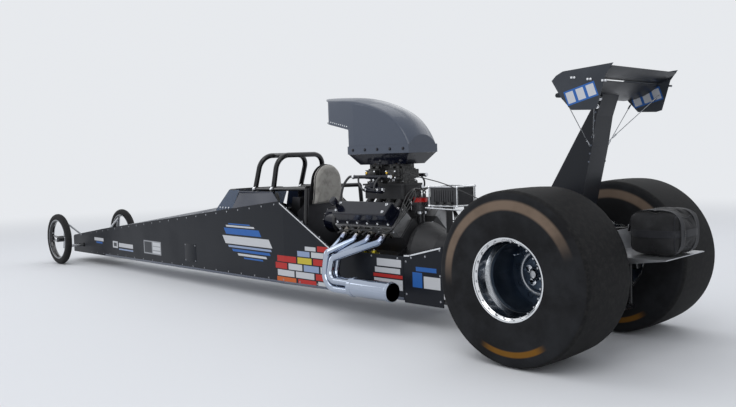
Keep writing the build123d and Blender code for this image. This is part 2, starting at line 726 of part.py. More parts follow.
with BuildPart() as scoop_tray:
    with BuildSketch(Plane.XY.offset(TRAY_LOW)):
        with Locations(((SCOOP_REAR_X + SCOOP_FOOT_X) / 2, 0)):
            Rectangle(440.0, 190.0)
    with BuildSketch(Plane.XY.offset(TRAY_TOP)):
        with Locations(((SCOOP_REAR_X + SCOOP_FOOT_X) / 2, 0)):
            Rectangle(SCOOP_FOOT_X - SCOOP_REAR_X, 2 * SCOOP_HALF)
    loft()
    for x in CARB_X:
        with Locations((x, 0, TRAY_LOW)):
            Cylinder(62.0, 400.0, mode=Mode.SUBTRACT)
save(scoop_tray.part, "scoop_tray")


# Scoop: a flat-sided hood with a crowned roof that follows one shoulder line
MOUTH_X = 2096.0
MOUTH_SIDE_X = 1987.0
MOUTH_HALF = 130.0
TAPER_X = 1730.0
SCOOP_WALL = 5.0
FLANGE_TOP = 1172.0
FLANGE_LIP = 5.0
CHIN_Z = 1292.0
CHIN_RISE = 0.222
CROWN = 30.0
SHOULDER_R = 24.0
SKIRT = 22.0

with BuildLine():
    rise = ThreePointArc((1192.0, 0, 1150.0), (1297.0, 0, 1312.0), (1426.0, 0, 1400.0))
    ease = TangentArc(rise @ 1, (1780.0, 0, 1492.0), tangent=rise % 1)
    run = TangentArc(ease @ 1, (2180.0, 0, 1510.0), tangent=ease % 1)


def shoulder_points(edge, inset):
    """The start, middle and end of a stretch of the shoulder line, drawn in by inset."""
    points = []
    for share in (0.0, 0.5, 1.0):
        at, along = edge @ share, edge % share
        points.append((at.X + along.Z * inset, at.Z - along.X * inset))
    return points


def scoop_form(inset, reach):
    """The scoop's form drawn in by inset, and open past its foot and mouth by reach."""
    half = SCOOP_HALF - inset
    low = TRAY_TOP + RUNNING_GAP - reach
    with BuildPart() as form:
        with BuildSketch(SIDE):
            arcs = [shoulder_points(edge, inset + SKIRT) for edge in (rise, ease, run)]
            with BuildLine():
                for arc in arcs:
                    ThreePointArc(*arc)
                end_x = arcs[-1][-1][0]
                Polyline(arcs[-1][-1], (end_x, CHIN_Z + inset + CHIN_RISE * (end_x - SCOOP_FOOT_X)),
                         (SCOOP_FOOT_X - inset, CHIN_Z + inset), (SCOOP_FOOT_X - inset, low),
                         (arcs[0][0][0], low), arcs[0][0])
            make_face()
        extrude(amount=half, both=True)
        with BuildLine() as path:
            for edge in (rise, ease, run):
                ThreePointArc(*[(x, 0, z) for x, z in shoulder_points(edge, inset)])
        with BuildSketch(Plane(origin=path.line @ 0, x_dir=(0, 1, 0), z_dir=path.line % 0)) as roof:
            with BuildLine():
                Polyline((half, 0), (half, -SKIRT - 12.0), (-half, -SKIRT - 12.0), (-half, 0))
                ThreePointArc((-half, 0), (0, CROWN), (half, 0))
            make_face()
            fillet(roof.vertices().sort_by(Axis.Y)[-2:], SHOULDER_R - inset)
        sweep(path=path.line)
        plan = [(SCOOP_REAR_X + inset, half), (TAPER_X, half), (MOUTH_SIDE_X, MOUTH_HALF - inset)]
        with BuildSketch(Plane.XY.offset(low)):
            with BuildLine():
                Polyline(*plan)
                mouth = [(MOUTH_SIDE_X + reach, MOUTH_HALF - inset), (MOUTH_X + reach, 0),
                         (MOUTH_SIDE_X + reach, inset - MOUTH_HALF)]
                if reach:
                    Line(plan[-1], mouth[0])
                ThreePointArc(*mouth)
                if reach:
                    Line(mouth[-1], (MOUTH_SIDE_X, inset - MOUTH_HALF))
                Polyline(*[(x, -y) for x, y in reversed(plan)])
                Line((plan[0][0], -half), plan[0])
            make_face()
        extrude(amount=700.0, mode=Mode.INTERSECT)
    return form.part


with BuildPart() as scoop:
    add(scoop_form(0.0, 0.0))
    with Locations(((SCOOP_REAR_X + SCOOP_FOOT_X) / 2, 0, TRAY_TOP + RUNNING_GAP)):
        Box(SCOOP_FOOT_X - SCOOP_REAR_X + 2 * FLANGE_LIP, 2 * (SCOOP_HALF + FLANGE_LIP),
            FLANGE_TOP - TRAY_TOP - RUNNING_GAP, align=(Align.CENTER, Align.CENTER, Align.MIN))
    add(scoop_form(SCOOP_WALL, 40.0), mode=Mode.SUBTRACT)
save(scoop.part, "scoop")


# Distributor at the back of the valley
with BuildPart() as distributor:
    with Locations((1232.0, 0, 610.0 + RUNNING_GAP)):
        Cylinder(26.0, 120.0, align=(Align.CENTER, Align.CENTER, Align.MIN))
    with Locations((1232.0, 0, 722.0)):
        Cylinder(62.0, 60.0, align=(Align.CENTER, Align.CENTER, Align.MIN))
    with Locations((1232.0, 0, 782.0)):
        Cylinder(48.0, 30.0, align=(Align.CENTER, Align.CENTER, Align.MIN))
save(distributor.part, "distributor")


# Headers: four primaries swept out, down and back into one collector
PORT_FIRST_X = ENGINE_MID_X + 1.5 * PORT_PITCH
BUNDLE_X = 1640.0
BUNDLE_Y = 452.0
COLLECTOR_Y = 492.0
COLLECTOR_Z = 250.0
COLLECTOR_X = (1400.0, 1040.0)
COLLECTOR_R = 62.0
COLLECTOR_WALL = 3.0
MERGE_PLATE = 12.0
PAIR = 27.0


def left_header():
    """The left bank's primaries, flanges and collector."""
    port_y, port_z = bank_point(PORT_REACH, BANK_HALF + RUNNING_GAP)
    with BuildPart() as header:
        for i in range(4):
            dx = PAIR if i < 2 else -PAIR
            dy = PAIR if i % 2 else -PAIR
            x = PORT_FIRST_X - i * PORT_PITCH
            route = [
                (x, port_y, port_z),
                (x, port_y + 62.0, port_z - 62.0),
                (BUNDLE_X + dx, BUNDLE_Y + dy, port_z - 120.0 - 18.0 * i),
                (BUNDLE_X + dx, COLLECTOR_Y + dy, COLLECTOR_Z - dx),
                (COLLECTOR_X[0], COLLECTOR_Y + dy, COLLECTOR_Z - dx),
            ]
            add(bent_tube(route, [30.0, 30.0, 95.0 + dx], PRIMARY_R))
            with Locations(Plane(origin=(x, port_y, port_z), z_dir=(0, *OUT)).location):
                Box(96.0, 74.0, 9.0, align=(Align.CENTER, Align.CENTER, Align.MIN))
        with Locations(Plane(origin=(COLLECTOR_X[0], COLLECTOR_Y, COLLECTOR_Z), z_dir=(1, 0, 0)).location):
            Cylinder(COLLECTOR_R, MERGE_PLATE, align=(Align.CENTER, Align.CENTER, Align.MIN))
    return header.part


def left_collector():
    """The open pipe clamped behind the left primaries."""
    ring = [
        (COLLECTOR_R - COLLECTOR_WALL, COLLECTOR_X[1]), (COLLECTOR_R, COLLECTOR_X[1]),
        (COLLECTOR_R, COLLECTOR_X[0] - 24.0), (COLLECTOR_R + 5.0, COLLECTOR_X[0] - 20.0),
        (COLLECTOR_R + 5.0, COLLECTOR_X[0] - RUNNING_GAP),
        (COLLECTOR_R - COLLECTOR_WALL, COLLECTOR_X[0] - RUNNING_GAP),
    ]
    with BuildPart() as pipe:
        with BuildSketch(Plane.XZ):
            with BuildLine():
                Polyline(*[(x, r) for r, x in ring], close=True)
            make_face()
        revolve(axis=Axis.X)
    return pipe.part.moved(Location((0, COLLECTOR_Y, COLLECTOR_Z)))


save(both_sides(left_header()), "headers")
save(both_sides(left_collector()), "collectors")


# Transmission: bellhousing, case and tail, back to the axle's pinion
PINION_X = 262.0
CASE_FRONT = (1010.0, 140.0)
CASE_REAR = (700.0, 118.0)

with BuildPart() as transmission:
    with BuildSketch(Plane.XY):
        with BuildLine():
            Polyline((REAR_PLATE_X - RUNNING_GAP, 0), (REAR_PLATE_X - RUNNING_GAP, 205.0), (1150.0, 205.0),
                     CASE_FRONT, CASE_REAR, (660.0, 62.0), (470.0, 52.0), (470.0, 36.0),
                     (PINION_X, 36.0), (PINION_X, 0), close=True)
        make_face()
    revolve(axis=Axis.X)
transmission_part = transmission.part.moved(Location((0, 0, CRANK_Z)))
save(transmission_part, "transmission")


# Ignition box on its bracket over the transmission
BRACKET_WALL = 6.0


def case_radius(x):
    """Radius of the transmission's tapered case at x."""
    return CASE_REAR[1] + (CASE_FRONT[1] - CASE_REAR[1]) * (x - CASE_REAR[0]) / (CASE_FRONT[0] - CASE_REAR[0])


with BuildPart() as ignition_box:
    with Locations((905.0, 60.0, 830.0)):
        Box(220.0, 170.0, 110.0)
    for x in (830.0, 980.0):
        foot = CRANK_Z + case_radius(x + BRACKET_WALL) + RUNNING_GAP
        with Locations((x, 0.0, foot)):
            Box(BRACKET_WALL, 60.0, 800.0 - foot, align=(Align.CENTER, Align.CENTER, Align.MIN))
save(ignition_box.part, "ignition_box")


# Rear axle housing: centre case, tubes, end flanges, side plates and calipers
AXLE_Z = REAR_TYRE_R
HOUSING_R = 48.0
HOUSING_END_Y = 258.0
ROTOR_Y = (272.0, 286.0)
ROTOR_R = 146.0

with BuildPart() as axle_housing:
    with BuildSketch(Plane.XY):
        with BuildLine():
            Polyline((SHAFT_R + RUNNING_GAP + 1, 0.0), (158.0, 0.0), (158.0, 48.0), (120.0, 108.0),
                     (HOUSING_R, 132.0), (HOUSING_R, HOUSING_END_Y - 12.0), (78.0, HOUSING_END_Y - 12.0),
                     (78.0, HOUSING_END_Y), (SHAFT_R + RUNNING_GAP + 1, HOUSING_END_Y), close=True)
        make_face()
    revolve(axis=Axis.Y)
    mirror(about=Plane.XZ)
    with Locations(Plane(origin=(120.0, 0, 0), z_dir=(1, 0, 0)).location):
        Cylinder(58.0, PINION_X - RUNNING_GAP - 120.0, align=(Align.CENTER, Align.CENTER, Align.MIN))
    for side in (1, -1):
        low = low_rail_z(-60.0) + TUBE_R + RUNNING_GAP - AXLE_Z
        high = upper_rail_z(0.0) - TUBE_R - 5.0 - AXLE_Z
        ear = [(-60.0, low), (60.0, low), (74.0, 0.0), (60.0, high), (-60.0, high), (-74.0, 0.0)]
        y = side * REAR_RAIL_Y
        add(plate_y(ear, y - 5.0, y + 5.0))
        rotor_mid = side * (ROTOR_Y[0] + ROTOR_Y[1]) / 2
        with Locations((-ROTOR_R, rotor_mid, 0)):
            Box(90.0, 60.0, 100.0)
        with Locations((-80.0, side * (HOUSING_END_Y - 6.0), 0)):
            Box(70.0, 10.0, 80.0)
        with Locations((-ROTOR_R + 33.0, rotor_mid, 0)):
            Box(80.0, 26.0, 110.0, mode=Mode.SUBTRACT)
    bore = Plane(origin=(0, -HOUSING_END_Y - 60, 0), z_dir=(0, 1, 0))
    with Locations(bore.location):
        Cylinder(SHAFT_R + RUNNING_GAP, 2 * HOUSING_END_Y + 120, align=(Align.CENTER, Align.CENTER, Align.MIN),
                 mode=Mode.SUBTRACT)
save(axle_housing.part.moved(Location((0, 0, AXLE_Z))), "axle_housing")


# Rear wheels: both rims, hubs and brake rotors on one solid shaft
TYRE_MID_Y = REAR_TYRE_OUTER_Y - REAR_TYRE_WIDTH / 2
RIM_HALF = 219.0
HUB_INNER_Y = HOUSING_END_Y + 6.0
DISC_Y = 426.0
PAD_R = 92.0
PAD_Y = DISC_Y + 20.0
AXLE_END_R = 36.0
STUDS = 5
STUD_CIRCLE_R = 60.3
STUD_R = 7.9
STUD_LENGTH = 42.0

RIM_EDGE = [
    (RIM_SEAT_R, RIM_HALF - 82), (RIM_SEAT_R, RIM_HALF - 14), (RIM_LIP_R, RIM_HALF - 7), (RIM_LIP_R, RIM_HALF),
    (RIM_LIP_R - RIM_WALL, RIM_HALF), (RIM_LIP_R - RIM_WALL, RIM_HALF - 5),
    (RIM_SEAT_R - RIM_WALL, RIM_HALF - 16), (RIM_SEAT_R - RIM_WALL, RIM_HALF - 80),
]
RIM_PROFILE = [(RIM_WELL_R, RIM_HALF - 124)] + RIM_EDGE + [(RIM_WELL_R - RIM_WALL, RIM_HALF - 122)]
RIM_PROFILE = [(r, TYRE_MID_Y + y) for r, y in RIM_PROFILE] + [
    (r, TYRE_MID_Y - y) for r, y in reversed(RIM_PROFILE)]
HUB_PROFILE = [
    (0.0, 0.0), (SHAFT_R, 0.0), (SHAFT_R, HUB_INNER_Y), (HUB_R, HUB_INNER_Y), (HUB_R, ROTOR_Y[0]),
    (ROTOR_R, ROTOR_Y[0]), (ROTOR_R, ROTOR_Y[1]), (HUB_R, ROTOR_Y[1]), (HUB_R, DISC_Y),
    (RIM_WELL_R - RIM_WALL + 1, DISC_Y), (RIM_WELL_R - RIM_WALL + 1, DISC_Y + 8.0), (PAD_R + 10.0, DISC_Y + 8.0),
    (PAD_R, PAD_Y), (AXLE_END_R, PAD_Y), (AXLE_END_R, PAD_Y + 36.0), (AXLE_END_R - 6.0, PAD_Y + 42.0),
    (0.0, PAD_Y + 42.0),
]

with BuildPart() as rear_wheels:
    for profile in (RIM_PROFILE, HUB_PROFILE):
        with BuildSketch(Plane.XY):
            with BuildLine():
                Polyline(*profile, close=True)
            make_face()
        revolve(axis=Axis.Y)
    mirror(about=Plane.XZ)
    for side in (1, -1):
        with BuildSketch(Plane.XZ.offset(-side * PAD_Y)):
            with PolarLocations(STUD_CIRCLE_R, STUDS, start_angle=side * 90.0):
                Circle(STUD_R)
        extrude(amount=-side * STUD_LENGTH)
save(rear_wheels.part.moved(Location((0, 0, AXLE_Z))), "rear_wheels")


# Rear tyres: smooth slicks with tall soft sidewalls
SIDEWALL = 14.0
TREAD_WALL = 22.0

with BuildPart() as rear_tyre:
    half = REAR_TYRE_WIDTH / 2
    bore = RIM_SEAT_R + RUNNING_GAP
    with BuildSketch(Plane.XY):
        with BuildLine():
            Polyline((bore, RIM_HALF - 60), (bore, RIM_HALF - 21), (RIM_LIP_R + 1, RIM_HALF - 13),
                     (RIM_LIP_R + 1, RIM_HALF - 1), (RIM_LIP_R + 16, half - 4))
            ThreePointArc((RIM_LIP_R + 16, half - 4), (330.0, half), (425.0, half - 12))
            ThreePointArc((425.0, half - 12), (446.0, half - 24), (REAR_TYRE_R - 4, half - 44))
            ThreePointArc((REAR_TYRE_R - 4, half - 44), (REAR_TYRE_R - 1, half / 2), (REAR_TYRE_R, 0.0))
            Polyline((REAR_TYRE_R, 0.0), (REAR_TYRE_R - TREAD_WALL, 0.0), (REAR_TYRE_R - TREAD_WALL - 4, half - 50),
                     (420.0, half - 12 - SIDEWALL), (330.0, half - SIDEWALL), (bore + 28, half - 20),
                     (bore + 14, RIM_HALF - 60), (bore, RIM_HALF - 60))
        make_face()
    revolve(axis=Axis.Y)
    mirror(about=Plane.XZ)
rear_tyre_part = rear_tyre.part.moved(Location((0, TYRE_MID_Y, AXLE_Z)))
save(both_sides(rear_tyre_part), "rear_tyres")


# Front end: kingpins leaning back at the top, held by a beam below and struts above
CASTER = radians(10.0)
KING_Y = 318.0
FRONT_Z = FRONT_TYRE_R
BEAM_Z = 190.0
STRUT_Z = 455.0
BOSS_R = 18.0
BOSS_HALF = 20.0
PIN_R = 9.0
KING_DIR = Vector(-sin(CASTER), 0, cos(CASTER))


def on_kingpin(z, side):
    """The point of a kingpin's axis at height z."""
    return Vector(FRONT_X - (z - FRONT_Z) * tan(CASTER), side * KING_Y, z)


def strut_ends(side):
    """Both ends of an upper strut, beside the top rail and at the kingpin's boss."""
    root = Vector(NOSE_POST_X, side * rail_y(NOSE_POST_X), upper_rail_z(NOSE_POST_X))
    head = on_kingpin(STRUT_Z, side) + KING_DIR * 12.0
    along = (head - root).normalized()
    return tuple(root + along * (TUBE_R + 9.0)), tuple(head - along * (BOSS_R - 3.0))


with BuildPart() as front_axle:
    beam_x = on_kingpin(BEAM_Z, 1).X
    tube((beam_x, -KING_Y + 4, BEAM_Z), (beam_x, KING_Y - 4, BEAM_Z), TUBE_R)
    for side in (1, -1):
        for z in (BEAM_Z, STRUT_Z):
            centre = on_kingpin(z, side)
            tube(tuple(centre - KING_DIR * BOSS_HALF), tuple(centre + KING_DIR * BOSS_HALF), BOSS_R)
        tube(*strut_ends(side), LIGHT_TUBE_R)
        y = rail_y(beam_x)
        foot = low_rail_z(beam_x) + TUBE_R + RUNNING_GAP
        add(plate_y([(beam_x - 16, foot), (beam_x + 16, foot), (beam_x + 12, BEAM_Z), (beam_x - 12, BEAM_Z)],
                    side * y - 5, side * y + 5))
    for side in (1, -1):
        for z in (BEAM_Z, STRUT_Z):
            centre = on_kingpin(z, side)
            with Locations(Plane(origin=centre, z_dir=KING_DIR).location):
                Cylinder(PIN_R + RUNNING_GAP, 2 * BOSS_HALF + 20, mode=Mode.SUBTRACT)
save(front_axle.part, "front_axle")

ARM_Z = 240.0
ARM_REACH = 130.0
ARM_DIR = Vector(-cos(CASTER), 0, -sin(CASTER))
SPINDLE_R = FRONT_BORE_R - RUNNING_GAP
EYE_R = 15.0
EYE_PIN_R = 6.0
EYE_DROP = 17.0


def knuckle(side):
    """Upright, spindle and steering arm of one side."""
    with BuildPart() as piece:
        low = on_kingpin(BEAM_Z, side) + KING_DIR * (BOSS_HALF + RUNNING_GAP)
        high = on_kingpin(STRUT_Z, side) - KING_DIR * (BOSS_HALF + RUNNING_GAP)
        tube(tuple(low), tuple(high), BOSS_R - 1)
        tube(tuple(low - KING_DIR * 2 * BOSS_HALF), tuple(high + KING_DIR * 2 * BOSS_HALF), PIN_R)
        tube((FRONT_X, side * (KING_Y - 4), FRONT_Z), (FRONT_X, side * 404.0, FRONT_Z), SPINDLE_R)
        tube((FRONT_X, side * (KING_Y - 4), FRONT_Z), (FRONT_X, side * 338.0, FRONT_Z), 21.0)
        arm_root = on_kingpin(ARM_Z, side)
        arm_end = arm_root + ARM_DIR * ARM_REACH
        tube(tuple(arm_root), tuple(arm_end), 9.0)
        tube(tuple(arm_end + KING_DIR * 8), tuple(arm_end - KING_DIR * 8), EYE_R - 2)
        tube(tuple(arm_end), tuple(arm_end - KING_DIR * (EYE_DROP + 9)), EYE_PIN_R)
    return piece.part


for side, name in ((1, "left"), (-1, "right")):
    save(knuckle(side), f"knuckle_{name}")

with BuildPart() as tie_rod:
    eyes = [on_kingpin(ARM_Z, side) + ARM_DIR * ARM_REACH - KING_DIR * EYE_DROP for side in (1, -1)]
    tube(tuple(eyes[0]), tuple(eyes[1]), 9.0)
    for eye in eyes:
        tube(tuple(eye - KING_DIR * 7), tuple(eye + KING_DIR * 7), EYE_R)
    for eye in eyes:
        with Locations(Plane(origin=eye, z_dir=KING_DIR).location):
            Cylinder(EYE_PIN_R + RUNNING_GAP, 60.0, mode=Mode.SUBTRACT)
save(tie_rod.part, "tie_rod")


# Front wheels: thin rims on five twin spokes
FRONT_RIM_HALF = 29.0

with BuildPart() as front_wheel:
    rim = [(FRONT_RIM_R, FRONT_RIM_HALF), (FRONT_RIM_R, 23.0), (FRONT_RIM_R - 10, 19.0),
           (FRONT_RIM_R - 18, 0.0), (FRONT_RIM_R - 10, -19.0), (FRONT_RIM_R, -23.0),
           (FRONT_RIM_R, -FRONT_RIM_HALF), (FRONT_RIM_R - 7, -FRONT_RIM_HALF), (FRONT_RIM_R - 17, -20.0),
           (FRONT_RIM_R - 25, 0.0), (FRONT_RIM_R - 17, 20.0), (FRONT_RIM_R - 7, FRONT_RIM_HALF)]
    hub = [(FRONT_BORE_R, -36.0), (FRONT_HUB_R, -36.0), (FRONT_HUB_R, 26.0), (24.0, 38.0), (FRONT_BORE_R, 38.0)]
    for profile in (rim, hub):
        with BuildSketch(Plane.XY):
            with BuildLine():
                Polyline(*profile, close=True)
            make_face()
        revolve(axis=Axis.Y)
    with BuildSketch(Plane.XZ.offset(-7.0)):
        with PolarLocations(0, FRONT_SPOKES):
            with BuildLine():
                Polyline((14.0, -26.0), (FRONT_RIM_R - 20, -40.0), (FRONT_RIM_R - 20, -26.0), (28.0, -13.0),
                         close=True)
            make_face()
            with BuildLine():
                Polyline((14.0, 26.0), (FRONT_RIM_R - 20, 40.0), (FRONT_RIM_R - 20, 26.0), (28.0, 13.0),
                         close=True)
            make_face()
    extrude(amount=14.0)
    with Locations(Plane(origin=(0, 0, 0), z_dir=(0, 1, 0)).location):
        Cylinder(FRONT_BORE_R, 100.0, mode=Mode.SUBTRACT)

with BuildPart() as front_tyre:
    with BuildSketch(Plane.XY):
        with BuildLine():
            half = FRONT_TYRE_WIDTH / 2
            bead = FRONT_RIM_R + 1
            Polyline((bead - 9, 0.0), (bead - 9, 17.0), (bead, 22.0), (bead, 27.0), (bead + 6, 30.0))
            ThreePointArc((bead + 6, 30.0), (bead + 26, half), (FRONT_TYRE_R - 10, 26.0))
            ThreePointArc((FRONT_TYRE_R - 10, 26.0), (FRONT_TYRE_R - 3, 16.0), (FRONT_TYRE_R, 0.0))
            Line((FRONT_TYRE_R, 0.0), (bead - 9, 0.0))
        make_face()
    revolve(axis=Axis.Y)
    mirror(about=Plane.XZ)

for side, name in ((1, "left"), (-1, "right")):
    place = Location((FRONT_X, side * FRONT_TRACK_HALF, FRONT_Z))
    turned = front_wheel.part if side > 0 else mirror(front_wheel.part, about=Plane.XZ)
    save(turned.moved(place), f"front_wheel_{name}")
    save(front_tyre.part.moved(place), f"front_tyre_{name}")


# Rear wing: a main element and a steeper flap between two end plates
WING_HALF = 357.0
END_PLATE = 4.0
STAND_HALF = 88.0
STAND_WALL = 5.0


def wing_element(lead, trail, half):
    """An upside-down aerofoil between two end plates, from its chord's ends."""
    chord = Vector(trail[0] - lead[0], trail[1] - lead[1])
    along = chord.normalized()
    up = Vector(-along.Y, along.X) if along.X > 0 else Vector(along.Y, -along.X)

    def at(u, v):
        point = Vector(*lead) + along * (u * chord.length) + up * (v * chord.length)
        return (point.X, point.Y)

    with BuildPart() as piece:
        with BuildSketch(Plane.XZ):
            with BuildLine():
                ThreePointArc(at(1.0, 0.0), at(0.5, 0.02), at(0.04, 0.045))
                ThreePointArc(at(0.04, 0.045), at(0.0, 0.0), at(0.05, -0.055))
                ThreePointArc(at(0.05, -0.055), at(0.42, -0.12), at(1.0, -0.012))
                Line(at(1.0, -0.012), at(1.0, 0.0))
            make_face()
        extrude(amount=half, both=True)
    return piece.part


def stand_foot_z(x):
    """Height at x of the line that rests on the two cross members under the stand."""
    (x0, z0), (x1, z1) = UPPER_RAIL[0], UPPER_RAIL[1]
    return z0 + (z1 - z0) * (x - x0) / (x1 - x0) + CROSS_R + 1.5 * RUNNING_GAP


STAND_TRAIL = [(-190.0, 1408.0), (-145.0, 1280.0), (-115.0, 1114.0), (-5.0, stand_foot_z(-5.0))]
STAND_VIEW = STAND_TRAIL + [(312.0, stand_foot_z(312.0)), (-20.0, 1168.0), (-111.0, 1314.0), (-165.0, 1408.0)]

with BuildPart() as wing:
    add(wing_element((-60.0, 1385.0), (-285.0, 1452.0), WING_HALF - RUNNING_GAP))
    add(wing_element((-268.0, 1464.0), (-386.0, 1512.0), WING_HALF - RUNNING_GAP))
    with BuildSketch(SIDE):
        with BuildLine():
            Polyline(*STAND_VIEW, close=True)
        make_face()
        offset(amount=RUNNING_GAP)
    extrude(amount=STAND_HALF + RUNNING_GAP, both=True, mode=Mode.SUBTRACT)
save(wing.part, "wing")

END_VIEW = [(-42.0, 1464.0), (-70.0, 1490.0), (-110.0, 1508.0), (-393.0, 1524.0), (-350.0, 1470.0),
            (-329.0, 1400.0), (-300.0, 1308.0), (-266.0, 1300.0), (-157.0, 1306.0), (-99.0, 1370.0)]
save(both_sides(plate_y(END_VIEW, WING_HALF, WING_HALF + END_PLATE)), "wing_end_plates")

with BuildPart() as wing_stand:
    add(plate_y(STAND_VIEW, -STAND_HALF, STAND_HALF))
    over, under = STAND_TRAIL[0][1] + 10.0, STAND_TRAIL[-1][1] - 60.0
    inside = [(x + STAND_WALL, z) for x, z in STAND_TRAIL]
    inside = [(inside[0][0], over)] + inside + [(inside[-1][0], under)]
    add(plate_y(inside + [(600.0, under), (600.0, over)], STAND_WALL - STAND_HALF,
                STAND_HALF - STAND_WALL), mode=Mode.SUBTRACT)
save(wing_stand.part, "wing_stand")


# Parachute pack and its tray, behind the frame
UPPER_TILT = atan2(UPPER_RAIL[0][1] - UPPER_RAIL[1][1], UPPER_RAIL[1][0] - UPPER_RAIL[0][0])
PACK_FRONT_X = -330.0
TRAY_Z = 540.0

with BuildPart() as chute_tray:
    front = REAR_END_X - TUBE_R * sin(UPPER_TILT) - RUNNING_GAP
    tray = [(front - 6, TRAY_Z + 110), (front, TRAY_Z + 110), (front, TRAY_Z - 60), (TAIL_X + 30, TRAY_Z - 4),
            (TAIL_X + 30, TRAY_Z), (front - 6, TRAY_Z)]
    add(plate_y(tray, -226.0, 226.0))
save(chute_tray.part, "chute_tray")

with BuildPart() as parachute_pack:
    with Locations(((TAIL_X + PACK_FRONT_X) / 2, 0, TRAY_Z + RUNNING_GAP)):
        Box(PACK_FRONT_X - TAIL_X, 320.0, 240.0, align=(Align.CENTER, Align.CENTER, Align.MIN))
    fillet(parachute_pack.edges(), 36.0)
save(parachute_pack.part, "parachute_pack")


# Nose shell, with holes for the beam, the struts and the tie rod
with BuildPart() as nose:
    add(wedge(NOSE_JOINT_X + RUNNING_GAP, 0.0))
    add(wedge(NOSE_JOINT_X + RUNNING_GAP - 20.0, PANEL), mode=Mode.SUBTRACT)
    beam_x = on_kingpin(BEAM_Z, 1).X
    for x, z, hole_r in ((beam_x, BEAM_Z, TUBE_R + 1), (eyes[0].X, eyes[0].Z, 24.0)):
        with Locations(Plane(origin=(x, 0, z), z_dir=(0, 1, 0)).location):
            Cylinder(hole_r, 600.0, mode=Mode.SUBTRACT)
    for side in (1, -1):
        root, head = (Vector(*end) for end in strut_ends(side))
        with Locations(Plane(origin=(root + head) * 0.5, z_dir=head - root).location):
            Cylinder(LIGHT_TUBE_R + 1, (head - root).length, mode=Mode.SUBTRACT)
save(nose.part, "nose")
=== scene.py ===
"""Dresses a packed drag racing car: finishes, trim, soft goods, a pale studio and the camera.

Everything is in metres, in the car's own frame: +X to the nose, +Y to the driver's left, +Z up,
with the origin on the ground under the middle of the car.
"""

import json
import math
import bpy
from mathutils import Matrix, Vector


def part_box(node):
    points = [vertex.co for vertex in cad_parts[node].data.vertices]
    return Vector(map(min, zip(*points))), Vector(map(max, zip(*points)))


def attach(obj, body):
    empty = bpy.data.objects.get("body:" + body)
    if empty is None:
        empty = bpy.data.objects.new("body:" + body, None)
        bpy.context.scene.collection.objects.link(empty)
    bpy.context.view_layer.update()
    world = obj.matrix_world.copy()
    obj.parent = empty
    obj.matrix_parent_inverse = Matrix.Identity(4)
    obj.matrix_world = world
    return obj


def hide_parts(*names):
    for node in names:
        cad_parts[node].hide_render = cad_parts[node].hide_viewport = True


bl_info = {
    "name": "Rear-engined dragster",
    "version": (1, 0, 0),
    "blender": (4, 5, 0),
    "location": "3D View > Sidebar > Dragster",
    "description": "Dresses the packed drag racing car with its finishes, trim and soft goods",
    "category": "Object",
}

import bmesh
import bpy
from bpy.props import FloatProperty, FloatVectorProperty, PointerProperty
from mathutils import Matrix, Vector
from mathutils.bvhtree import BVHTree

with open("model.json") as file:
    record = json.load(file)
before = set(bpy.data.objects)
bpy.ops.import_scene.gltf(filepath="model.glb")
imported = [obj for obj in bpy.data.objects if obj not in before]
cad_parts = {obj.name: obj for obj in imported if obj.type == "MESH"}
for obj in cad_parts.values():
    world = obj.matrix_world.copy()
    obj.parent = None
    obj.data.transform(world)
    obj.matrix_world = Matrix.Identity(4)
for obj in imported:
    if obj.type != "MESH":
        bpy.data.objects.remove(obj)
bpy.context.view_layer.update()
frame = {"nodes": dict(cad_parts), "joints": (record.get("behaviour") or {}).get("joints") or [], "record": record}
JOINTS = {joint["name"]: joint for joint in frame["joints"]}

# The rear axle, which the trim is set out from
REAR_AXLE = Vector(JOINTS["rear_axle_spin"]["pos_m"])
REAR_TYRE_R = REAR_AXLE.z


# Node trees written as expressions

def signs(operation):
    """A wire's two methods for one sign, for when it stands left of the sign and right of it."""
    def on_left(self, other):
        return self.math(operation, self, other)

    def on_right(self, other):
        return self.math(operation, other, self)

    return on_left, on_right


class Wire:
    """An output socket that can stand in a sum, which adds its Math nodes."""

    __add__, __radd__ = signs("ADD")
    __sub__, __rsub__ = signs("SUBTRACT")
    __mul__, __rmul__ = signs("MULTIPLY")
    __truediv__, __rtruediv__ = signs("DIVIDE")

    def __init__(self, graph, socket):
        self.graph = graph
        self.socket = socket

    def math(self, operation, *values):
        return self.graph.node("ShaderNodeMath", {"operation": operation}, dict(enumerate(values)))

    def __abs__(self):
        return self.math("ABSOLUTE", self)

    def sin(self):
        return self.math("SINE", self)

    def root(self):
        return self.math("SQRT", self)

    def steps(self, start, end):
        """0 before start, 1 after end, and a smooth rise between them."""
        sockets = {"Value": self, "From Min": start, "From Max": end}
        return self.graph.node("ShaderNodeMapRange", {"interpolation_type": "SMOOTHSTEP"}, sockets)

    def band(self, low, high, soft):
        """1 between low and high, with soft edges."""
        return self.steps(low - soft, low) * (1 - self.steps(high, high + soft))


class Graph:
    """A node tree with one call that adds any node."""

    def __init__(self, tree):
        self.tree = tree

    def node(self, kind, settings=None, sockets=None, output=0):
        """Add a node, with its settings first and then the values or links of its sockets."""
        made = self.tree.nodes.new(kind)
        for name, value in (settings or {}).items():
            if name == "stops":
                self.set_stops(made.color_ramp, value)
            else:
                setattr(made, name, value)
        for key, value in (sockets or {}).items():
            if isinstance(value, Wire):
                self.tree.links.new(value.socket, made.inputs[key])
            else:
                made.inputs[key].default_value = value
        return Wire(self, made.outputs[output]) if len(made.outputs) else made

    @staticmethod
    def set_stops(ramp, stops):
        """Set a colour ramp from pairs of position and colour."""
        while len(ramp.elements) < len(stops):
            ramp.elements.new(0.5)
        for element, (position, colour) in zip(ramp.elements, stops):
            element.position = position
            element.color = opaque(colour)


def opaque(colour):
    """A colour of three numbers as four."""
    return (*colour[:3], 1.0)


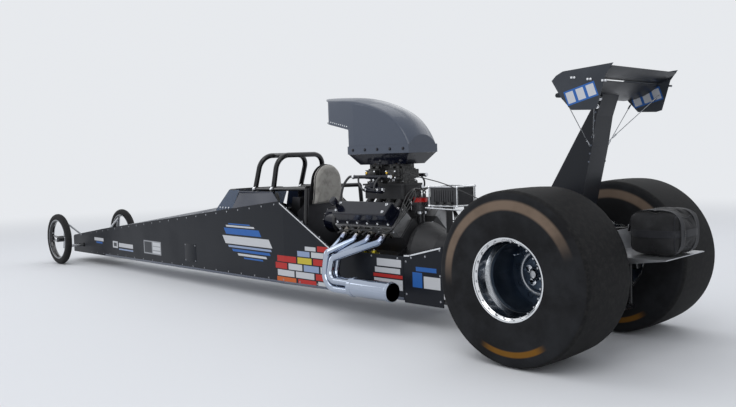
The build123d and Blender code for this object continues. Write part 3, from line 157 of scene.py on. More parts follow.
# Short names for the shader's sockets that only some finishes set
SHADER_SOCKETS = {"coat": "Coat Weight", "coat_rough": "Coat Roughness", "sheen": "Sheen Weight",
                  "specular": "Specular IOR Level"}


class Paint(Graph):
    """A material: a principled shader and what varies over the surface."""

    def __init__(self, name, colour, roughness, metallic=0.0, **plain):
        self.material = bpy.data.materials.new(name)
        self.material.use_nodes = True
        super().__init__(self.material.node_tree)
        self.tree.nodes.clear()
        self.shader = self.tree.nodes.new("ShaderNodeBsdfPrincipled")
        output = self.tree.nodes.new("ShaderNodeOutputMaterial")
        self.tree.links.new(self.shader.outputs[0], output.inputs["Surface"])
        self.set("Base Color", opaque(colour))
        self.set("Roughness", roughness)
        self.set("Metallic", metallic)
        for socket, value in plain.items():
            self.set(SHADER_SOCKETS[socket], value)

    def set(self, socket, value):
        """Give one of the shader's sockets a plain value or a link."""
        if isinstance(value, Wire):
            self.tree.links.new(value.socket, self.shader.inputs[socket])
        else:
            self.shader.inputs[socket].default_value = value

    def place(self):
        """The surface point's own coordinates, in the car's frame."""
        return self.node("ShaderNodeTexCoord", {}, {}, "Object")

    def stretched(self, scale):
        """The surface point, scaled along each axis."""
        return self.node("ShaderNodeMapping", {}, {"Vector": self.place(), "Scale": scale})

    def xyz(self, vector=None):
        """Three wires, for x, y and z."""
        split = self.node("ShaderNodeSeparateXYZ", {}, {0: vector or self.place()})
        return [Wire(self, split.socket.node.outputs[i]) for i in range(3)]

    def from_axle(self):
        """Wires for the reach from the rear axle, round it: along, up and their length."""
        x, _, z = self.xyz()
        dx = x - REAR_AXLE.x
        dz = z - REAR_AXLE.z
        return dx, dz, (dx * dx + dz * dz).root()

    def noise(self, scale, detail=3.0, roughness=0.5, vector=None):
        sockets = {"Vector": vector or self.place(), "Scale": scale, "Detail": detail, "Roughness": roughness}
        return self.node("ShaderNodeTexNoise", {}, sockets)

    def cells(self, scale):
        """Distance to the nearest of many scattered points."""
        return self.node("ShaderNodeTexVoronoi", {}, {"Vector": self.place(), "Scale": scale}, "Distance")

    def blend(self, share, first, second):
        """From the first colour to the second by share."""
        sockets = {0: share, 6: first, 7: second}
        for key in (6, 7):
            if not isinstance(sockets[key], Wire):
                sockets[key] = opaque(sockets[key])
        return self.node("ShaderNodeMix", {"data_type": "RGBA"}, sockets, 2)

    def rough(self, share, smooth, coarse):
        """Roughness from smooth to coarse by share."""
        self.set("Roughness", smooth + share * (coarse - smooth))

    def relief(self, height, strength, distance):
        """Bump from a height, in metres at full strength."""
        sockets = {"Height": height, "Strength": strength, "Distance": distance}
        self.set("Normal", self.node("ShaderNodeBump", {}, sockets))


# Finishes

def worn(name, clean, marked, patch, rough, bump, metallic=0.0, share=1.0, **plain):
    """A finish that patches of dust, wear or grime mark, over a fine relief.

    patch is a noise's scale, detail and roughness, and where its marks start and are full. rough is
    how rough the clean and the marked surface is. bump is a noise, or None for the marks themselves,
    with its strength and depth. share is how much of the marked colour shows.
    """
    paint = Paint(name, clean, rough[0], metallic, **plain)
    scale, detail, tooth, start, full = patch
    marks = paint.noise(scale, detail, tooth).steps(start, full)
    grain, strength, depth = bump
    paint.set("Base Color", paint.blend(marks * share, clean, marked))
    paint.rough(marks, *rough)
    paint.relief(paint.noise(*grain) if grain else marks, strength, depth)
    return paint.material


def flaked(paint, full):
    """The body colour with its flake, and the slow haze over it; a little orange peel goes under both."""
    grain = paint.noise(900.0, 2.0)
    paint.relief(paint.noise(260.0, 1.0) * 0.4 + grain * 0.2, 0.06, 0.0006)
    return paint.blend(grain.steps(0.35, 0.7), [c * 0.86 for c in full], full), paint.noise(3.2, 4.0)


def body_paint(name="charcoal_paint", tint=(1.0, 1.0, 1.0), gloss=0.30):
    """Satin charcoal paint, dusty low down; a tint other than white lightens and blues it as a painted sky sheen
    on surfaces that lean up.
    """
    # A tint above white is a painted sky sheen: it lightens and blues the charcoal of the upward-leaning deck and
    # cowl
    full = [c * share for c, share in zip(bpy.context.scene.dragster_finish.body_colour, tint)]
    paint = Paint(name, full, 0.36, specular=gloss)
    colour, haze = flaked(paint, full)
    low = 1 - paint.xyz()[2].steps(0.12, 0.5)
    paint.set("Base Color", paint.blend(low * haze.steps(0.45, 0.75) * 0.25, colour, (0.12, 0.115, 0.11)))
    paint.rough(haze.steps(0.35, 0.75), 0.30, 0.44)
    return paint.material


def brushed_sheet(name, colour, roughness, direction):
    """Bare sheet alloy with fine lines from brushing along one axis."""
    paint = Paint(name, colour, roughness, 1.0)
    stretch = [400.0, 400.0, 400.0]
    stretch[direction] = 6.0
    lines = paint.noise(1.0, 3.0, 0.6, paint.stretched(stretch))
    stain = paint.noise(7.0, 5.0, 0.6)
    dull = [c * 0.62 for c in colour]
    paint.set("Base Color", paint.blend(stain.steps(0.42, 0.72) * 0.55, colour, dull))
    paint.rough(stain * 0.5 + lines * 0.5, roughness - 0.1, roughness + 0.22)
    paint.relief(lines, 0.12, 0.0004)
    return paint.material


def casting(name, colour, roughness, metallic):
    """Sand-cast metal with a pebbled skin and oil stains."""
    paint = Paint(name, colour, roughness, metallic)
    pebbles = paint.cells(520.0)
    stain = paint.noise(11.0, 6.0, 0.65)
    dark = [c * 0.38 for c in colour]
    paint.set("Base Color", paint.blend(stain.steps(0.48, 0.72) * 0.8, colour, dark))
    paint.rough(stain, roughness - 0.12, roughness + 0.18)
    paint.relief(pebbles * 0.5 + stain * 0.5, 0.16, 0.0008)
    return paint.material


def gloss_black(name, colour, roughness=0.16, coat=0.35):
    """Smooth enamel with faint dust."""
    return worn(name, colour, [c * 0.8 + 0.035 for c in colour], (26.0, 6.0, 0.7, 0.5, 0.8),
                (roughness, roughness + 0.3), ((130.0, 2.0), 0.04, 0.0006), share=0.22, coat=coat,
                coat_rough=0.05, specular=0.30)


def anodised(name, colour, roughness=0.24):
    """Dyed anodised alloy, a little paler where it has rubbed."""
    return worn(name, colour, [c * 0.5 + 0.25 for c in colour], (60.0, 5.0, 0.65, 0.58, 0.75),
                (roughness, roughness + 0.2), ((350.0, 2.0), 0.05, 0.0003), 0.9, 0.6, coat=0.2)


def bright_pipe():
    """Chromed header pipe, straw and blue from heat near the ports, with a pale blue cast along the rest that is a
    painted reflection of sky.
    """
    paint = Paint("heated_chrome", (0.46, 0.50, 0.58), 0.10, 1.0)
    _, y, z = paint.xyz()
    port_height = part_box("headers")[1].z
    from_port = (port_height - z) + (abs(y) - 0.30) * 0.5
    smear = paint.noise(24.0, 4.0, 0.6)
    heat = from_port + (smear - 0.5) * 0.06
    # Stops: straw and blue heat tint near the ports, then a pale blue cast along the rest, a painted sky
    # reflection
    tint = paint.node("ShaderNodeValToRGB", {"stops": [
        (0.0, (0.46, 0.46, 0.47)), (0.10, (0.42, 0.39, 0.34)), (0.19, (0.30, 0.33, 0.44)),
        (0.30, (0.33, 0.40, 0.52)), (0.5, (0.43, 0.48, 0.57))]}, {"Fac": heat * 2.2})
    paint.set("Base Color", tint)
    soot = smear.steps(0.55, 0.8)
    paint.rough(soot, 0.07, 0.24)
    paint.relief(paint.noise(90.0, 3.0), 0.03, 0.0006)
    return paint.material


def slick_rubber():
    """Soft slick rubber with scuffed tread, fine mould rings and gold sidewall bands."""
    tone = bpy.context.scene.dragster_finish
    paint = Paint("slick_rubber", tone.tyre_colour, 0.78, specular=0.14)
    dx, dz, radius = paint.from_axle()
    angle = paint.node("ShaderNodeMath", {"operation": "ARCTAN2"}, {0: dz, 1: dx})
    share = radius / REAR_TYRE_R
    scuff = paint.noise(38.0, 6.0, 0.7)
    cloud = paint.noise(6.0, 4.0, 0.6)
    tread = share.steps(0.955, 0.975)
    rubbed = paint.blend(scuff.steps(0.35, 0.75), [c * 0.8 for c in tone.tyre_colour], (0.021, 0.0205, 0.020))
    wall = paint.blend(cloud.steps(0.3, 0.75), tone.tyre_colour, (0.020, 0.021, 0.0235))
    base = paint.blend(tread, wall, rubbed)
    blur = cloud.steps(0.2, 0.6) * 0.35 + 0.65
    upper_arc = angle.band(0.35, 2.30, 0.55) * share.band(0.795, 0.865, 0.035) * blur
    lower_arc = angle.band(-2.00, -1.30, 0.22) * share.band(0.805, 0.850, 0.020) * blur
    faded = [c * 0.6 + 0.115 for c in tone.band_colour]
    beige = paint.blend(upper_arc * 0.72, base, faded)
    paint.set("Base Color", paint.blend(lower_arc * 0.95, beige, tone.band_colour))
    paint.rough(scuff, 0.62, 0.88)
    rings = (share * 520.0).sin() * share.band(0.60, 0.95, 0.02)
    paint.relief(scuff * 0.6 + rings * 0.12 + tread * paint.noise(150.0, 4.0) * 0.8, 0.35, 0.0012)
    return paint.material


def front_rubber():
    """Plain black front tyre rubber with ribs on the tread."""
    paint = Paint("front_tyre_rubber", (0.012, 0.012, 0.013), 0.7, specular=0.2)
    y = paint.xyz()[1]
    scuff = paint.noise(60.0, 5.0, 0.7)
    paint.set("Base Color", paint.blend(scuff.steps(0.4, 0.8), (0.010, 0.010, 0.011), (0.030, 0.029, 0.028)))
    paint.rough(scuff, 0.55, 0.85)
    groove = (abs(y) * 900.0).sin().steps(-0.2, 0.4)
    paint.relief(groove + scuff * 0.5, 0.25, 0.0010)
    return paint.material


def rear_rim_metal():
    """Polished rim lip round a dark satin dish."""
    paint = Paint("rear_rim_metal", (0.6, 0.61, 0.63), 0.2, 1.0)
    radius = paint.from_axle()[2]
    lip = radius.steps(0.180, 0.186)
    turned = (radius * 2600.0).sin()
    dish = paint.blend(paint.noise(8.0, 4.0).steps(0.3, 0.8), (0.055, 0.075, 0.105), (0.10, 0.125, 0.16))
    paint.set("Base Color", paint.blend(lip, dish, (0.78, 0.79, 0.80)))
    smear = paint.noise(22.0, 4.0, 0.6)
    paint.set("Roughness", 0.36 - lip * 0.26 + smear * 0.08)
    paint.relief(turned * 0.4 + smear, 0.05, 0.0005)
    return paint.material


def shroud_cover():
    """Coarse grey-beige heat cloth, stained with use."""
    paint = Paint("heat_cloth", (0.34, 0.325, 0.30), 0.85, sheen=0.25)
    _, y, z = paint.xyz()
    warp = (y * 2200.0).sin() * (z * 2200.0).sin()
    stain = paint.noise(14.0, 6.0, 0.7)
    paint.set("Base Color", paint.blend(stain.steps(0.42, 0.72), (0.36, 0.345, 0.315), (0.22, 0.21, 0.19)))
    paint.rough(stain, 0.75, 0.95)
    paint.relief(warp * 0.5 + stain * 1.5, 0.5, 0.0015)
    return paint.material


def pack_cloth():
    """Heavy black nylon with a plain weave."""
    paint = Paint("black_nylon", (0.014, 0.014, 0.015), 0.7, sheen=0.06, specular=0.2)
    x, y, z = paint.xyz()
    weave = (x * 1700.0).sin() * (y * 1700.0).sin() + (z * 1700.0).sin()
    fade = paint.noise(9.0, 5.0, 0.6)
    paint.set("Base Color", paint.blend(fade.steps(0.4, 0.8), (0.012, 0.012, 0.013), (0.028, 0.028, 0.030)))
    paint.rough(fade, 0.6, 0.85)
    paint.relief(weave + fade, 0.3, 0.0010)
    return paint.material


def clear_sheet():
    """Smoked polycarbonate for the windscreen."""
    paint = Paint("smoked_screen", (0.035, 0.062, 0.115), 0.06, 0.0, coat=0.2, specular=0.35)
    haze = paint.noise(30.0, 5.0, 0.6)
    paint.set("Alpha", 0.78 + haze * 0.10)
    paint.rough(haze, 0.03, 0.12)
    return paint.material


def distributor_skin():
    """A dark alloy body under a red moulded cap."""
    paint = Paint("distributor_skin", (0.03, 0.03, 0.033), 0.35, coat=0.3)
    cap = paint.xyz()[2].steps(0.7795, 0.7815)
    dust = paint.noise(40.0, 4.0, 0.6).steps(0.5, 0.8)
    body = paint.blend(dust, (0.022, 0.022, 0.024), (0.07, 0.07, 0.07))
    moulded = paint.blend(dust, (0.46, 0.012, 0.010), (0.33, 0.03, 0.025))
    paint.set("Base Color", paint.blend(cap, body, moulded))
    paint.rough(dust, 0.25, 0.5)
    return paint.material


def carburettor_metal():
    """Blackened zinc castings in two dark tones."""
    paint = Paint("blackened_zinc", (0.05, 0.05, 0.052), 0.34, 0.7)
    patch = paint.noise(60.0, 4.0, 0.6)
    paint.set("Base Color", paint.blend(patch.steps(0.35, 0.7), (0.075, 0.074, 0.072), (0.022, 0.022, 0.023)))
    paint.rough(patch, 0.28, 0.55)
    paint.relief(patch, 0.12, 0.0006)
    return paint.material


def braided(name, first, second):
    """Woven hose sleeve, two tones in fine diamonds."""
    paint = Paint(name, first, 0.4, 0.5)
    x, y, z = paint.xyz()
    weave = ((x + z) * 1500.0 + y * 900.0).sin() * ((x - z) * 1500.0 - y * 900.0).sin()
    paint.set("Base Color", paint.blend(weave.steps(-0.2, 0.3), first, second))
    paint.rough(paint.noise(30.0, 3.0), 0.30, 0.55)
    paint.relief(weave, 0.4, 0.0008)
    return paint.material


def webbing():
    """Woven black strap with ribs across and worn paler high spots."""
    paint = Paint("webbing", (0.014, 0.0145, 0.018), 0.72, sheen=0.08, specular=0.25)
    x, _, z = paint.xyz()
    ribs = (x * 2100.0).sin() + (z * 2100.0).sin()
    wear = paint.noise(28.0, 5.0, 0.65).steps(0.5, 0.8)
    paint.set("Base Color", paint.blend(wear, (0.012, 0.0125, 0.016), (0.036, 0.037, 0.041)))
    paint.rough(wear, 0.62, 0.85)
    paint.relief(ribs + wear, 0.35, 0.0009)
    return paint.material


def thread():
    """Grey waxed sewing thread."""
    paint = Paint("waxed_thread", (0.16, 0.155, 0.15), 0.6, sheen=0.2)
    paint.set("Base Color", paint.blend(paint.noise(400.0, 2.0), (0.11, 0.105, 0.10), (0.24, 0.235, 0.225)))
    paint.relief(paint.noise(1500.0, 1.0), 0.2, 0.0003)
    return paint.material


def gauge_face():
    """A pale dial with a plain ring of marks and no figures."""
    paint = Paint("gauge_face", (0.55, 0.55, 0.53), 0.5)
    _, y, z = paint.xyz()
    marks = ((y * 900.0).sin() * (z * 900.0).sin()).steps(0.86, 0.92)
    paint.set("Base Color", paint.blend(marks, (0.56, 0.56, 0.54), (0.02, 0.02, 0.02)))
    paint.rough(paint.noise(40.0, 2.0), 0.42, 0.58)
    return paint.material


def coloured_block(along, height, x0, x1, z0, z1):
    """1 inside a block that has edges 2 mm soft."""
    return along.band(x0, x1, 0.002) * height.band(z0, z1, 0.002)


def side_paint():
    """The body's charcoal with plain blocks and slanted bars of colour along its outside."""
    full = bpy.context.scene.dragster_finish.body_colour
    paint = Paint("side_paint", full, 0.40, specular=0.16)
    colour, haze = flaked(paint, full)
    x, y, z = paint.xyz()
    along = x - REAR_AXLE.x
    facing = paint.xyz(paint.node("ShaderNodeTexCoord", {}, {}, "Normal"))[1]
    outside = (facing * y).steps(0.0, 0.05)
    slant = along - (z - 0.42) * 0.7
    for reach, cover, blocks in ((along, 0.92, SIDE_BLOCKS), (slant, 0.95, SLANTED_BARS)):
        for x0, x1, z0, z1, tint in blocks:
            inside = coloured_block(reach, z, x0, x1, z0, z1) * outside
            colour = paint.blend(inside * cover, colour, tint)
    paint.set("Base Color", colour)
    paint.rough(haze.steps(0.35, 0.75), 0.28, 0.42)
    return paint.material


def plate_paint():
    """The wing's end plates: slate paint with three blank slanted blocks edged in blue."""
    paint = Paint("plate_paint", (0.040, 0.045, 0.055), 0.42, specular=0.25)
    x, _, z = paint.xyz()
    along = x - REAR_AXLE.x
    slant = along - (z - 1.385) * 0.35
    height = z + (along + 0.21) * 0.25
    haze = paint.noise(5.0, 4.0)
    colour = paint.blend(haze.steps(0.35, 0.75), (0.036, 0.041, 0.050), (0.052, 0.058, 0.068))
    for middle in (-0.275, -0.212, -0.149):
        for reach, low, high, tint in ((0.031, 1.346, 1.424, BLUE), (0.022, 1.355, 1.415, WHITE)):
            inside = coloured_block(slant, height, middle - reach, middle + reach, low, high)
            colour = paint.blend(inside * 0.95, colour, tint)
    paint.set("Base Color", colour)
    paint.rough(haze.steps(0.35, 0.75), 0.34, 0.5)
    paint.relief(paint.noise(260.0, 1.0), 0.05, 0.0005)
    return paint.material


# Colours of the plain blocks on the body's side
WHITE = (0.60, 0.61, 0.63)
GREY = (0.34, 0.35, 0.37)
RED = (0.50, 0.035, 0.03)
ORANGE = (0.60, 0.13, 0.03)
YELLOW = (0.62, 0.50, 0.06)
BLUE = (0.03, 0.13, 0.42)
PALE_BLUE = (0.30, 0.38, 0.56)
SLATE = (0.03, 0.032, 0.038)
# Each block is from x to x and z to z, with its colour
SIDE_BLOCKS = [
    (1.800, 1.960, 0.156, 0.204, WHITE),
    (1.985, 2.190, 0.156, 0.204, RED),
    (2.215, 2.450, 0.156, 0.204, ORANGE),
    (1.790, 1.985, 0.214, 0.258, RED),
    (2.005, 2.215, 0.214, 0.258, WHITE),
    (2.235, 2.440, 0.214, 0.258, WHITE),
    (1.780, 1.930, 0.268, 0.312, WHITE),
    (1.950, 2.120, 0.268, 0.312, PALE_BLUE),
    (2.140, 2.300, 0.268, 0.312, WHITE),
    (2.320, 2.465, 0.268, 0.312, RED),
    (1.780, 2.010, 0.322, 0.366, RED),
    (2.030, 2.190, 0.322, 0.366, YELLOW),
    (2.210, 2.440, 0.322, 0.366, RED),
    (1.800, 2.030, 0.376, 0.414, WHITE),
    (2.050, 2.190, 0.376, 0.414, PALE_BLUE),
    (1.840, 1.960, 0.424, 0.462, RED),
    (1.980, 2.100, 0.424, 0.452, WHITE),
    (1.120, 1.380, 0.226, 0.292, WHITE),
    (1.120, 1.385, 0.302, 0.322, RED),
    (1.140, 1.370, 0.332, 0.364, WHITE),
    (1.130, 1.350, 0.376, 0.424, WHITE),
    (0.800, 0.935, 0.262, 0.336, WHITE),
    (0.950, 1.030, 0.262, 0.356, BLUE),
    (0.830, 1.000, 0.366, 0.392, BLUE),
    (4.360, 4.720, 0.216, 0.344, GREY),
    (4.375, 4.530, 0.300, 0.332, WHITE),
    (4.375, 4.530, 0.260, 0.290, WHITE),
    (4.375, 4.530, 0.228, 0.248, WHITE),
    (4.550, 4.705, 0.228, 0.332, SLATE),
    (4.970, 5.300, 0.238, 0.278, WHITE),
    (5.330, 5.450, 0.222, 0.290, WHITE),
    (5.355, 5.425, 0.238, 0.274, SLATE),
    (4.970, 5.300, 0.208, 0.220, PALE_BLUE),
    (5.690, 5.930, 0.270, 0.302, WHITE),
    (5.720, 5.880, 0.244, 0.260, BLUE),
]
SLANTED_BARS = [
    (2.700, 3.020, 0.572, 0.580, BLUE), (2.650, 3.070, 0.552, 0.564, WHITE),
    (2.600, 3.120, 0.492, 0.540, BLUE), (2.510, 3.190, 0.412, 0.476, WHITE),
    (2.540, 3.160, 0.384, 0.398, PALE_BLUE), (2.580, 3.120, 0.352, 0.370, BLUE),
    (2.650, 3.060, 0.322, 0.338, WHITE), (2.720, 2.990, 0.300, 0.310, BLUE),
]


FINISHES = {
    "frame_paint": lambda: worn(
        "black_powder_coat", (0.009, 0.009, 0.010), (0.040, 0.039, 0.038), (18.0, 5.0, 0.62, 0.60, 0.74),
        (0.22, 0.5), ((420.0, 2.0), 0.08, 0.0005), share=0.4, coat=0.3, coat_rough=0.12, specular=0.35),
    "body_paint": body_paint,
    "sheet_alloy": lambda: brushed_sheet("brushed_sheet", (0.55, 0.56, 0.58), 0.34, 0),
    "clear_screen": clear_sheet,
    "padding": shroud_cover,
    "black_casting": lambda: casting("black_block", (0.022, 0.022, 0.024), 0.45, 0.1),
    "bare_casting": lambda: casting("bare_casting", (0.36, 0.36, 0.365), 0.45, 0.85),
    "black_alloy": lambda: gloss_black("black_enamel", (0.0035, 0.0045, 0.011), 0.14, 0.25),
    "carburettor_alloy": carburettor_metal,
    "red_cap": lambda: gloss_black("red_cap", (0.42, 0.012, 0.012), 0.25),
    "dark_box": lambda: gloss_black("dark_box", (0.03, 0.03, 0.033), 0.35),
    "bright_pipe": bright_pipe,
    "steel_parts": lambda: worn(
        "machined_steel", (0.40, 0.41, 0.43), (0.14, 0.1435, 0.1505), (30.0, 5.0, 0.65, 0.5, 0.78),
        (0.24, 0.57), ((300.0, 3.0, 0.6), 0.1, 0.0004), 1.0, 0.7),
    "grip": lambda: gloss_black("moulded_grip", (0.02, 0.02, 0.02), 0.5),
    "pack_cloth": pack_cloth,
    "rear_rim": rear_rim_metal,
    "front_rim": lambda: worn(
        "front_rim_metal", (0.02, 0.02, 0.022), (0.07, 0.068, 0.066), (40.0, 5.0, 0.6, 0.5, 0.8), (0.14, 0.4),
        ((200.0, 2.0), 0.05, 0.0004), 0.6, coat=0.6, coat_rough=0.08),
    "slick_rubber": slick_rubber,
    "front_rubber": front_rubber,
    "bright_fastener": lambda: worn(
        "bright_fastener", (0.82, 0.83, 0.85), (0.50, 0.50, 0.52), (70.0, 4.0, 0.6, 0.5, 0.8), (0.12, 0.38),
        ((500.0, 2.0), 0.05, 0.0003), 1.0),
    "edge_strip": lambda: worn(
        "edge_strip", (0.105, 0.12, 0.155), (0.18, 0.195, 0.23), (40.0, 5.0, 0.65, 0.5, 0.75), (0.28, 0.5),
        (None, 0.05, 0.0004), 0.4),
    "polished_sheet": lambda: brushed_sheet("polished_sheet", (0.78, 0.79, 0.81), 0.20, 0),
    "hose_rubber": lambda: worn(
        "hose_rubber", (0.013, 0.013, 0.014), (0.045, 0.044, 0.043), (50.0, 5.0, 0.65, 0.45, 0.8),
        (0.34, 0.62), ((240.0, 2.0), 0.08, 0.0004)),
    "braided_hose": lambda: braided("braided_hose", (0.03, 0.03, 0.032), (0.10, 0.10, 0.105)),
    "gold_fitting": lambda: anodised("gold_fitting", (0.78, 0.50, 0.08)),
    "anodised_purple": lambda: anodised("anodised_purple", (0.30, 0.03, 0.12)),
    "webbing": webbing,
    "thread": thread,
    "gauge_face": gauge_face,
    "side_paint": side_paint,
    "dark_cast": lambda: casting("dark_cast", (0.035, 0.035, 0.037), 0.5, 0.4),
    "dark_sheet": lambda: brushed_sheet("dark_sheet", (0.06, 0.06, 0.065), 0.42, 2),
    # The scoop's blue-grey is partly its own paint and partly painted sunlight: it is made lighter than the body's
    # charcoal to stand for sun on its side
    "scoop_skin": lambda: gloss_black("scoop_skin", (0.060, 0.074, 0.105), 0.30),
    # The deck and cowl: the charcoal lightened and blued as a painted sky sheen on surfaces that lean up
    "deck_paint": lambda: body_paint("deck_paint", (1.1, 1.4, 2.1), 0.34),
    "plate_paint": plate_paint,
    "yellow_can": lambda: anodised("yellow_can", (0.62, 0.50, 0.04), 0.35),
    "distributor": distributor_skin,
}
# Nodes whose finish differs from that of their slot
NODE_FINISHES = {
    "side_panels": "side_paint", "rear_panels": "side_paint", "nose": "side_paint",
    "top_deck": "deck_paint", "cockpit_cowl": "deck_paint", "wing_end_plates": "plate_paint",
    "seat": "dark_sheet", "firewall": "dark_sheet", "motor_plates": "dark_sheet",
    "transmission": "dark_cast", "front_drive": "black_alloy", "intake_manifold": "black_casting",
    "scoop": "scoop_skin", "distributor": "distributor",
}


def finish_of(slot):
    """The material of one of the record's slots, or of another of FINISHES, made once."""
    if slot not in finish_of.made:
        finish_of.made[slot] = FINISHES[slot]()
    return finish_of.made[slot]


finish_of.made = {}


# Where things are: lengths here are from the rear axle, as the car was drawn

CRANK_Z = 0.440
ENGINE_X = 1.490
CARBURETTORS = (1.395, 1.595)
# The blower drive's upper drum, across and up
DRUM = (0.112, 0.642)
SIDES = (1, -1)
BODY_HALF = 0.318
# How much narrower the body gets for each metre towards the nose
TAPER = 0.18 / 4.27
# Rise of the valve covers' foot above the crank
COVER_FOOT = 0.3496
# Where rays start that look down on the car
OVERHEAD = 1.2
# How far out the rear wheels' dish, studs' face, hub end and outer lip are
DISH_FACE = 0.4345
STUD_FACE = 0.4463
HUB_END = 0.4885
LIP_FACE = 0.7302
# Across a bank to the spark plugs, and out to the block's side
PLUG_ACROSS = 0.0825
BLOCK_SIDE = 0.1502
DISTRIBUTOR_X = 1.232
# The wing stand's half width
STAND_HALF = 0.088
# Where the two straps go over the parachute pack
PACK_STRAPS = (-0.085, 0.085)


def at(x, y, z):
    """A point of the car, with x from the rear axle."""
    return Vector((REAR_AXLE.x + x, y, z))


def outward(side, ahead=0.0):
    """The way out of the car on one side, leaning ahead where the body tapers."""
    return Vector((ahead, side, 0))


def spoke(turn, axis="Y"):
    """The way out from an axle that lies along an axis of the car."""
    a, b = math.cos(turn), math.sin(turn)
    return Vector({"X": (0, a, b), "Y": (a, 0, b), "Z": (a, b, 0)}[axis])


def top_edge(x):
    """Height of the body's upper edge."""
    return 0.780 - 0.113009 * (x - 2.4)


def low_edge(x):
    """Height of the body's lower edge."""
    return 0.165 - 0.010580 * (x - 1.1)


def half_body(x):
    """Outer half width of the body."""
    return BODY_HALF - TAPER * max(0.0, x - 2.35)


def on_bank(rise, across, side, x):
    """A point of a cylinder bank, rise above the crank and across the bank to the outside."""
    slope = math.sqrt(0.5)
    return at(x, side * (rise + across) * slope, CRANK_Z + (rise - across) * slope)


def bank_up(side):
    """The direction in which a cylinder bank rises."""
    return Vector((0, side, 1)).normalized()


def bank_out(side):
    """The direction across a cylinder bank to the outside."""
    return Vector((0, side, -1)).normalized()


# Making meshes

def smooth_line(route, steps=6):
    """Points along a soft line through the route's points."""
    route = [Vector(point) for point in route]
    ends = [2 * route[0] - route[1]] + route + [2 * route[-1] - route[-2]]
    line = []
    for a, b, c, d in zip(ends, ends[1:], ends[2:], ends[3:]):
        for i in range(steps):
            t = i / steps
            line.append(0.5 * (2 * b + (c - a) * t + (2 * a - 5 * b + 4 * c - d) * t ** 2
                               + (3 * b - a - 3 * c + d) * t ** 3))
    return line + [route[-1]]


